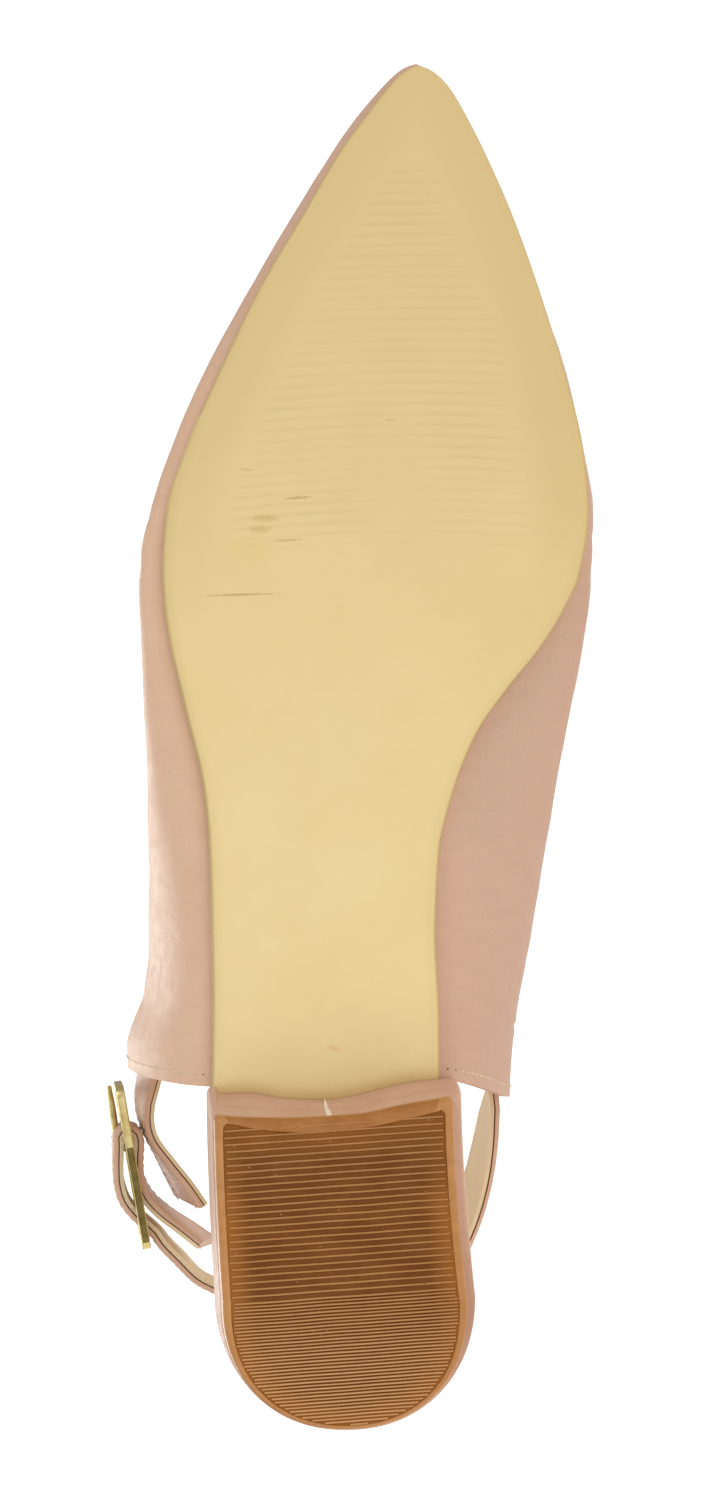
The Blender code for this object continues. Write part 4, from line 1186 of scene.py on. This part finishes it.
# ridges all over the field, with finer ones between them over the rear half
doubled = math.ceil((topPiece["firstRib"] - topPiece["doubleBelow"]) / topPiece["pitch"]) + 0.5
mainPaths = ribPaths(topPiece["firstRib"] + 4 * topPiece["pitch"])
rearPaths = ribPaths(topPiece["firstRib"] - doubled * topPiece["pitch"])
alongPaths("main_ribs", ribs, mainPaths, brownRib, {
    "Width": topPiece["ribWidth"], "Height": 2 * topPiece["ribHeight"],
})
alongPaths("rear_ribs", ribs, rearPaths, brownRib, {
    "Width": topPiece["rearWidth"], "Height": 1.8 * topPiece["ribHeight"],
})
print("wear piece built")

# Insole with its sock: rounded edge, leather wrapped round it at the heel seat
insole = {"side": 1.0, "toeSpare": 1.2, "stations": 120, "edgeRound": 0.9, "wrappedTo": 76.0}


def insoleEdge(side, y, inset):
    # the round heel seat, eased into the upper's lasted edge ahead of it
    ahead = min(1.0, max(0.0, (y - shoe["soleEnd"]) / (shoe["length"] * 0.22)))
    ahead *= inset + insole["toeSpare"]
    toe = featherPoint(side, min(y + ahead, featherTip)).x - side * inset
    flare = heel["flareOut"] if side == outer else shoe["flare"]
    seatR = shoe["heelRadius"] + flare - inset
    if y < shoe["heelRadius"]:
        back = min(1.0, (shoe["heelRadius"] - y) / (seatR * shoe["heelBack"])) ** (1 / shoe["heelSquare"])
        width = math.sqrt(max(0.0, 1 - back * back)) ** shoe["heelSquare"]
        seat = shoe["heelMiddle"] + side * seatR * width
    else:
        t = min(1.0, (y - shoe["heelRadius"]) / (shoe["soleEnd"] - shoe["heelRadius"]))
        rear = shoe["heelMiddle"] + side * seatR
        fore = shoe["frontMiddle"] + side * (shoe["frontHalf"] + flare - inset)
        seat = rear + (fore - rear) * t
    return seat + (toe - seat) * ease((y - shoe["soleEnd"]) / 14 + 1)


def buildInsole():
    tip = featherTip - insole["side"] - insole["toeSpare"] - 1.6
    back = shoe["heelRadius"] - (shoe["heelRadius"] + shoe["flare"] - insole["side"]) * shoe["heelBack"]
    n = insole["stations"]
    points = []
    for i in range(n + 1):
        y = back + (tip - back) * (1 + math.cos(math.pi * i / n)) / 2
        y = min(tip - 0.05, max(back + 0.05, y))
        out, into = insoleEdge(outer, y, insole["side"]), insoleEdge(inner, y, insole["side"])
        middle, half = (out + into) / 2, max((out - into) / 2, 0.35)
        bevel = min(insole["edgeRound"], half * 0.4)
        z = insoleZ(y)
        row = [(middle + half * k, y, z) for k in (1.0, 0.5, 0.0, -0.5, -1.0)]
        for a in (0.0, 0.3, 0.6, 1.0):
            c, s = math.cos(a * math.pi / 2), math.sin(a * math.pi / 2)
            row.append((middle - half + bevel * (1 - c), y, z + shoe["insole"] - bevel * (1 - s)))
        for k in np.linspace(-0.94, 0.94, 17):
            dish = 0.35 * (1 - k * k) * ease((y - 6) / 20) * ease((200 - y) / 30)
            row.append((middle + (half - bevel) * k, y, z + shoe["insole"] - min(0.25, dish)))
        for a in (1.0, 0.6, 0.3, 0.0):
            c, s = math.cos(a * math.pi / 2), math.sin(a * math.pi / 2)
            row.append((middle + half - bevel * (1 - c), y, z + shoe["insole"] - bevel * (1 - s)))
        points += row
    columns = len(points) // (n + 1)
    faceLooks = []
    for i in range(n):
        y = points[i * columns][1]
        for j in range(columns):
            onSide = j <= 5 or j >= columns - 3
            faceLooks.append(1 if onSide and y < insole["wrappedTo"] else 0)
    faceLooks += [0, 1]
    body = bodyFrom("sock_insole", points, tubeFaces(n + 1, columns), [sock, strapPink], faceLooks)
    return sharpen(body, 55)


sockInsole = buildInsole()
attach(sockInsole, "root")
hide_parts("insole")
print("insole built")

# Straps and buckle
buckle = {
    "length": 34.6, "bar": 2.2, "rail": 2.0, "depth": 1.8, "centreAt": 11.6, "centreWidth": 1.8,
    "windowSpare": 0.6, "out": 4.1, "back": 2.6, "turn": 9.7, "prong": 0.75,
    "edgeRound": 0.32, "corner": 2.6, "windowCorner": 0.9, "roundness": 0.55, "prongSides": 20,
}
strap = {
    "step": 1.1, "lean": 4.4, "tuck": 17.0, "tuckSteps": 14, "aheadIn": 3.0, "aheadOut": 1.0,
    "backing": 0.45, "twist": 1.2, "twistLow": 1.6, "twistHigh": 0.4, "wallGap": 0.2, "sink": 0.93,
}
# Round the heel: across and ahead of its centre in shares of its radius, shares of the strap's lean and rise
heelLoop = [
    (-1.35, 1.34, 0.40, 0.03), (-1.31, 1.02, 0.80, 0.15), (-1.25, 0.68, 1.00, 0.36),
    (-1.14, 0.31, 1.00, 0.60), (-0.91, -0.11, 0.90, 0.82), (-0.55, -0.48, 0.70, 0.95),
    (-0.12, -0.66, 0.50, 1.00), (0.30, -0.60, 0.40, 0.94), (0.66, -0.35, 0.30, 0.78),
    (0.88, -0.17, 0.15, 0.58),
]
# Back from the centre bar in shares of the rear window, out in strap thicknesses,
# share of the strap's rise, lean in mm
outerLayer = [
    (1.538, -5.35, 0.37, 0.8), (1.293, -3.444, 0.17, 1.2), (1.106, -2.000, 0.06, 1.2),
    (0.981, -1.278, 0.02, 1.0), (0.875, -0.333, 0.0, 0.9), (0.760, 0.722, 0.0, 0.8),
    (0.620, 1.611, 0.0, 0.6), (0.428, 1.944, 0.0, 0.4), (0.236, 1.722, 0.0, 0.2),
]
# The end turned back inside the loop, in the same measures but for the rise
innerLayer = [
    (0.188, -0.944, 0.0), (0.404, -0.667, 0.4), (0.596, -1.222, 1.4),
    (0.788, -2.778, 2.6), (0.981, -5.000, 3.4), (1.173, -7.111, 3.6),
]
# Back in shares of the buckle's length, out in strap thicknesses, lean in mm
frontLayer = [
    (0.120, -2.550, -2.8), (0.225, -2.250, -1.9), (0.347, -2.550, -0.9),
    (0.491, -3.650, -2.8), (0.636, -4.850, -5.0), (0.772, -5.850, -5.6),
]

buckleFront = Vector((
    widePoint(outer, backEdge[outer]).x + buckle["out"] - shoe["strapThick"] / 2,
    backEdge[outer] - buckle["back"], shoe["strapHeight"],
))
turnAngle = math.radians(buckle["turn"])
alongBuckle = Vector((-math.sin(turnAngle), -math.cos(turnAngle), 0))
outOfBuckle = Vector((math.cos(turnAngle), -math.sin(turnAngle), 0))
buckleAxes = Matrix((alongBuckle, Vector((0, 0, -1)), outOfBuckle)).transposed().to_4x4()
buckleAxes.translation = buckleFront


def atBuckle(back, out):
    p = buckleFront + alongBuckle * back + outOfBuckle * out
    return (p.x, p.y)


def throughPoints(path, step):
    # rows about a step apart on a smooth curve through the rows of a path
    p = np.array(path, float)
    dist = np.concatenate([[0], np.cumsum(np.hypot(*np.diff(p[:, :2], axis=0).T))])
    tangent = np.gradient(p, dist, axis=0)
    out = []
    for i in range(len(p) - 1):
        h = dist[i + 1] - dist[i]
        n = max(1, int(round(h / step)))
        for k in range(n):
            t = k / n
            a = (1 + 2 * t) * (1 - t) ** 2 * p[i] + t * t * (3 - 2 * t) * p[i + 1]
            out.append(a + h * (t * (1 - t) ** 2 * tangent[i] - t * t * (1 - t) * tangent[i + 1]))
    out.append(p[-1])
    return out


def againstWall(side, y, z, tuck):
    # tucked ends sink between the leather and its lining
    inset = shoe["wall"] / 2 + shoe["gap"] + shoe["strapThick"] / 2 + strap["wallGap"]
    inset *= 1 - strap["sink"] * ease(tuck / 0.5)
    pair = []
    for h in (z - shoe["strapWidth"] / 2, z + shoe["strapWidth"] / 2):
        slope = wallX(side, y, h + 0.5) - wallX(side, y, h - 0.5)
        pair.append(Vector((wallX(side, y, h) - side * inset * math.hypot(1, slope), y, h)))
    return pair


def edgePair(x, y, z, lean):
    # lower and upper edge of a strap that stands free, its top leaning toward the foot
    toward = Vector((shoe["heelMiddle"] - x, shoe["heelRadius"] * 1.2 - y, 0)).normalized() * lean / 2
    half = Vector((0, 0, shoe["strapWidth"] / 2))
    return [Vector((x, y, z)) - half - toward, Vector((x, y, z)) + half + toward]


def heelStrapStations():
    stations = [
        againstWall(inner, backEdge[inner] + strap["aheadIn"] + strap["tuck"] * t, shoe["strapHeight"], t)
        for t in np.linspace(1, 0, strap["tuckSteps"])
    ]
    free = []
    for out, forward, lean, rise in heelLoop:
        free.append((
            shoe["heelMiddle"] + out * shoe["heelRadius"], shoe["heelRadius"] * (1 + forward),
            shoe["strapHeight"] + shoe["strapRise"] * rise, strap["lean"] * lean,
        ))
    window = buckle["length"] - buckle["bar"] - buckle["centreAt"]
    for back, out, rise, lean in outerLayer:
        x, y = atBuckle(buckle["centreAt"] + back * window, out * shoe["strapThick"])
        free.append((x, y, shoe["strapHeight"] + shoe["strapRise"] * rise, lean))
    fold = shoe["strapThick"] / 2 + buckle["centreWidth"] / 2 + 2 * shoe["gap"]
    for i in range(7):
        a = math.radians(80 + 200 * i / 6)
        x, y = atBuckle(buckle["centreAt"] + fold * math.cos(a), fold * math.sin(a))
        free.append((x, y, shoe["strapHeight"], 0.0))
    for back, out, lean in innerLayer:
        x, y = atBuckle(buckle["centreAt"] + back * window, out * shoe["strapThick"])
        free.append((x, y, shoe["strapHeight"], lean))
    return stations + [edgePair(*row) for row in throughPoints(free, strap["step"])]


def frontStrapStations():
    stations = []
    for t in np.linspace(1, 0, strap["tuckSteps"]):
        y = backEdge[outer] + strap["aheadOut"] + strap["tuck"] * t
        low, high = againstWall(outer, y, shoe["strapHeight"], t)
        twist = Vector((strap["twist"] * (1 - t) ** 3, 0, 0))
        stations.append([low - twist * strap["twistLow"], high + twist * strap["twistHigh"]])
    path = []
    for back, out, lean in frontLayer:
        x, y = atBuckle(back * buckle["length"], out * shoe["strapThick"])
        path.append((x, y, shoe["strapHeight"], lean))
    return stations + [edgePair(*row) for row in throughPoints(path, strap["step"])]


def strapSection(width, thick):
    # ring of (across, out, look): leather outside and over the edges, dark seam, then the cream lining
    w, h = width / 2, thick / 2
    deep = h + strap["backing"]
    half = [
        (w - 0.75 + 0.75 * math.cos(math.radians(65)), h * 0.86, 0), (w - 0.14, h * 0.54, 0),
        (w - 0.01, h * 0.10, 0), (w - 0.06, -h * 0.28, 2), (w - 0.50, -h * 0.42, 2),
        (w - 0.22, -h * 0.58, 1), (w - 0.16, -h * 0.90, 1), (w - 0.38, -deep, 1),
    ]
    ring = [(k * (w - 0.7), h - 0.10 * abs(k) ** 3, 0) for k in np.linspace(-1, 1, 9)] + half
    ring += [(k * (w - 0.9), -deep + 0.05 * abs(k) ** 3, 1) for k in np.linspace(1, -1, 7)]
    other = [(-a, o) for a, o, look in reversed(half)]
    return ring + [(a, o, look) for (a, o), look in zip(other, (1, 1, 2, 2, 0, 0, 0, 0))]


def buildStrap(name, stations, outward):
    # frames keep each station's middle, its direction across the strap and its direction out
    section = strapSection(shoe["strapWidth"], shoe["strapThick"])
    points, frames = [], []
    for i, (low, high) in enumerate(stations):
        mid = (low + high) / 2
        before, after = stations[max(0, i - 1)], stations[min(len(stations) - 1, i + 1)]
        along = ((after[0] + after[1]) - (before[0] + before[1])).normalized()
        acrossStrap = (high - low).normalized()
        out = acrossStrap.cross(along).normalized() * outward
        frames.append((mid, acrossStrap, out))
        stretchBy = (high - low).length / shoe["strapWidth"]
        for a, o, look in section:
            points.append(mid + acrossStrap * a * stretchBy + out * o)
    looks = [look for i in range(len(stations) - 1) for a, o, look in section] + [0, 0]
    faces = tubeFaces(len(stations), len(section))
    body = bodyFrom(name, points, faces, [strapPink, beige, seamDark], looks)
    return sharpen(body, 50), frames


heelStrapBody, heelFrames = buildStrap("heel_strap_leather", heelStrapStations(), -1)
frontStrapBody, frontFrames = buildStrap("front_strap_leather", frontStrapStations(), 1)
for body, node in ((heelStrapBody, "heel_strap"), (frontStrapBody, "front_strap")):
    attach(body, "root")
    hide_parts(node)
print("straps built")


def rectangle(curve, x0, x1, halfHeight, radius):
    # rounded rectangle with two points at each corner, their handles toward it
    spline = curve.splines.new("BEZIER")
    corners = [(x0, -halfHeight), (x1, -halfHeight), (x1, halfHeight), (x0, halfHeight)]
    spline.bezier_points.add(7)
    order = []
    for i, (cx, cy) in enumerate(corners):
        px, py = corners[i - 1]
        nx, ny = corners[(i + 1) % 4]
        before = Vector((px - cx, py - cy)).normalized() * radius
        after = Vector((nx - cx, ny - cy)).normalized() * radius
        order.append(((cx + before.x, cy + before.y), (cx, cy), False))
        order.append(((cx + after.x, cy + after.y), (cx, cy), True))
    for b, (at, corner, second) in zip(spline.bezier_points, order):
        b.co = (*at, 0)
        handle = (*Vector(at).lerp(Vector(corner), buckle["roundness"]), 0)
        b.handle_left_type = b.handle_right_type = "FREE"
        b.handle_left = handle if second else b.co
        b.handle_right = b.co if second else handle
    spline.use_cyclic_u = True


def buildBuckleFrame():
    edge = buckle["edgeRound"]
    half = shoe["strapWidth"] / 2 + buckle["windowSpare"]
    flat = bpy.data.curves.new("buckle_frame_outline", "CURVE")
    flat.dimensions = "2D"
    flat.fill_mode = "BOTH"
    flat.resolution_u = 10
    long, bar, at, wide = buckle["length"], buckle["bar"], buckle["centreAt"], buckle["centreWidth"] / 2
    rectangle(flat, edge, long - edge, half + buckle["rail"] - edge, buckle["corner"])
    for start, end in ((bar, at - wide), (at + wide, long - bar)):
        rectangle(flat, start - edge, end + edge, half + edge, buckle["windowCorner"])
    flat.extrude = buckle["depth"] / 2 - edge
    flat.bevel_depth = edge
    flat.bevel_resolution = 4
    scratch = addObject("buckle_outline", flat)
    bpy.context.view_layer.update()
    graph = bpy.context.evaluated_depsgraph_get()
    mesh = bpy.data.meshes.new_from_object(scratch.evaluated_get(graph))
    bpy.data.objects.remove(scratch, do_unlink=True)
    bm = bmesh.new()
    bm.from_mesh(mesh)
    bmesh.ops.remove_doubles(bm, verts=bm.verts, dist=0.001)
    bmesh.ops.recalc_face_normals(bm, faces=bm.faces)
    bm.to_mesh(mesh)
    bm.free()
    mesh.transform(place @ buckleAxes)
    mesh.materials.clear()
    mesh.materials.append(gilt)
    mesh.materials.append(reflectionGilt)
    # the rails' outer faces behind the prong get the dark gilt: a painted reflection
    railFace = (turned @ Vector((0, 0, 1))).normalized()
    for face in mesh.polygons:
        back = (buckleAxes.inverted() @ (place.inverted() @ face.center)).x
        if abs(face.normal.dot(railFace)) > 0.9 and back > buckle["centreAt"]:
            face.material_index = 1
    mesh.shade_smooth()
    return sharpen(addObject("gilt_frame", mesh), 40)


def buildProng():
    r = buckle["prong"]
    ringR = r + shoe["gap"] + math.hypot(buckle["centreWidth"] / 2, buckle["depth"] / 2) - shoe["gap"] / 3
    path = []
    for i in range(25):
        a = math.radians(-150 + 240 * i / 24)
        path.append(Vector((buckle["centreAt"] + ringR * math.cos(a), 0, ringR * math.sin(a))))
    rest = buckle["depth"] / 2 + shoe["gap"] + r
    for t in np.linspace(0.08, 1.0, 14):
        path.append(Vector((buckle["centreAt"] * (1 - t) + shoe["gap"] * t, 0, ringR + (rest - ringR) * t)))
    points = []
    sides = buckle["prongSides"]
    for i, p in enumerate(path):
        along = (path[min(len(path) - 1, i + 1)] - path[max(0, i - 1)]).normalized()
        side = Vector((0, 1, 0))
        stand = along.cross(side).normalized()
        fade = 1.0 - 0.35 * ease((i - (len(path) - 7)) / 6)
        for k in range(sides):
            a = 2 * math.pi * k / sides
            points.append(buckleAxes @ (p + (side * math.cos(a) + stand * math.sin(a)) * r * fade))
    return sharpen(bodyFrom("gilt_prong", points, tubeFaces(len(path), sides), [gilt]), 50)


giltFrame = buildBuckleFrame()
giltProng = buildProng()
for body, node in ((giltFrame, "buckle_frame"), (giltProng, "buckle_prong")):
    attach(body, "root")
    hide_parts(node)
print("buckle built")

# Stitch rows: how far they are set in, and each row's pitch, stitch length and stitch radius
sewing = {"strapInset": 1.5, "edgeInset": 0.2, "backInset": 2.2, "topInset": 2.4}
stitchSizes = {
    "edge_stitches": (1.5, 1.3, 0.19),
    "strap_stitches": (1.75, 1.35, 0.14),
    "quarter_stitches": (1.42, 1.12, 0.22),
    "needle_holes": (1.42, 0.44, 0.22),
    "topline_stitches": (1.6, 1.25, 0.17),
}


def sew(name, paths, look):
    sizes = dict(zip(("Pitch", "Length", "Radius"), stitchSizes[name]))
    alongPaths(name, stitches, paths, look, sizes)


def strapRow(frames, side):
    # on the leather, set in from the strap's edge
    across, out = side * (shoe["strapWidth"] / 2 - sewing["strapInset"]), shoe["strapThick"] / 2 - 0.05
    return [(mid + acrossStrap * across + away * out, away) for mid, acrossStrap, away in frames]


def edgeRow(frames, side):
    # thread showing along the lining's edge
    across, under = side * (shoe["strapWidth"] / 2 - sewing["edgeInset"]), shoe["strapThick"] * 0.40
    return [
        (mid + acrossStrap * across - away * under, acrossStrap * side)
        for mid, acrossStrap, away in frames
    ]


# the rows start where the straps come out of the quarters
hidden = strap["tuckSteps"] + 1
sewnStraps = [(frames[hidden:], side) for side in (1, -1) for frames in (heelFrames, frontFrames)]
sew("edge_stitches", [edgeRow(*row) for row in sewnStraps], creamThread)
sew("strap_stitches", [strapRow(*row) for row in sewnStraps], creamThread)


def onWall(side, grid, rowAt, columnAt):
    # point and outward direction on the outer face, at row and column in the upper's grid
    i = min(max(rowAt, 0.0), len(grid) - 1.001)
    j = min(max(columnAt, 0.0), len(grid[0]) - 1.001)
    i0, j0 = int(i), int(j)
    ti, tj = i - i0, j - j0
    a = grid[i0][j0].lerp(grid[i0 + 1][j0], ti)
    b = grid[i0][j0 + 1].lerp(grid[i0 + 1][j0 + 1], ti)
    ahead = grid[i0 + 1][j0] - grid[i0][j0]
    upward = grid[i0][j0 + 1] - grid[i0][j0]
    normal = (upward.cross(ahead) * side).normalized()
    return a.lerp(b, tj) + normal * shoe["wall"] / 2, normal


def stepIn(line, inset, step):
    # place on a line of points that lies so far in from its last one
    at, gone = len(line) - 1.0, 0.0
    while gone < inset and at > 1:
        k = int(at - step)
        gone += (line[k + 1] - line[k]).length * step
        at -= step
    return at


def quarterRow(side):
    # up the quarter beside its back edge
    grid = wallGrids[side]
    path = []
    for j in np.arange(0.9, len(grid[0]) - 2.6, 0.4):
        i = stepIn([column[int(j)] for column in grid], sewing["backInset"], 0.5)
        path.append(onWall(side, grid, i, j))
    return path


def toplineRow(side):
    # from the throat to the back edge, below the topline
    grid = wallGrids[side]
    path = []
    for i in np.arange(upper["tipRows"] + 6, len(grid) - 4, 1.0):
        j = stepIn(grid[int(i)], sewing["topInset"], 0.25)
        path.append(onWall(side, grid, i, j))
    return path


backRows = [quarterRow(side) for side in (outer, inner)]
toplineRows = [toplineRow(side) for side in (outer, inner)]
# dark beads where the stitch rows start stand for empty needle holes: painted shade
holeRows = [[(p - n * 0.12, n) for p, n in row[1:5]] for row in backRows]
sew("quarter_stitches", [row[4:] for row in backRows], creamThread)
sew("needle_holes", holeRows, needleHole)
sew("topline_stitches", toplineRows, pinkThread)
print("stitches sewn")

# Floor and soft studio light
stage = {
    "floorSize": 6.0, "floorGlow": 0.72, "world": 0.42, "behind": 1.6, "aim": (0, 0, 0.04),
    "key": 5.0, "top": 5.0, "rear": 9.0, "fill": 2.2,
}


def buildFloor():
    f = Finish("paleFloor")
    spot = f.node("TexCoord", out=3)
    cloud = f.noise(spot, 3.0, 2.0, 0.5)
    tone = f.mix(cloud, (0.52, 0.52, 0.515), (0.55, 0.55, 0.545))
    look = f.finishWith({
        "Base Color": tone, "Roughness": 0.7, "Specular IOR Level": 0.1,
        "Emission Color": (1.0, 1.0, 1.0), "Emission Strength": stage["floorGlow"],
    })
    half = stage["floorSize"] / 2
    mesh = bpy.data.meshes.new("floor")
    corners = [(-half, -half, 0), (half, -half, 0), (half, half, 0), (-half, half, 0)]
    mesh.from_pydata(corners, [], [(0, 1, 2, 3)])
    mesh.materials.append(look)
    floor = addObject("floor", mesh)


def buildWorld():
    # what lights the shoe is softer than the white seen behind it
    f = Finish("studio", world=True)
    bpy.context.scene.world = f.owner
    lit = f.node("Background", {}, {"Color": (1.0, 0.995, 0.985), "Strength": stage["world"]})
    seen = f.node("Background", {}, {"Strength": stage["behind"]})
    blend = f.node("MixShader", {}, {0: f.node("LightPath"), 1: lit, 2: seen})
    f.node("OutputWorld", {}, {"Surface": blend})


def softLight(name, spot, size, colour):
    # a round lamp aimed at the shoe, with the power that the stage gives under its name
    data = bpy.data.lights.new(name, "AREA")
    data.shape = "DISK"
    data.size = size
    data.energy = stage[name]
    data.color = colour
    light = addObject(name, data)
    light.location = spot
    light.rotation_mode = "QUATERNION"
    light.rotation_quaternion = (Vector(stage["aim"]) - Vector(spot)).to_track_quat("-Z", "Y")


buildFloor()
buildWorld()
softLight("key", (0.85, -0.95, 0.85), 0.7, (1.0, 0.99, 0.97))
softLight("top", (-0.25, -0.45, 1.5), 1.1, (1.0, 1.0, 1.0))
softLight("rear", (-0.5, 1.25, 1.0), 1.0, (1.0, 0.99, 0.98))
softLight("fill", (-0.9, -0.7, 0.5), 1.1, (1.0, 0.99, 0.98))
print("stage set")
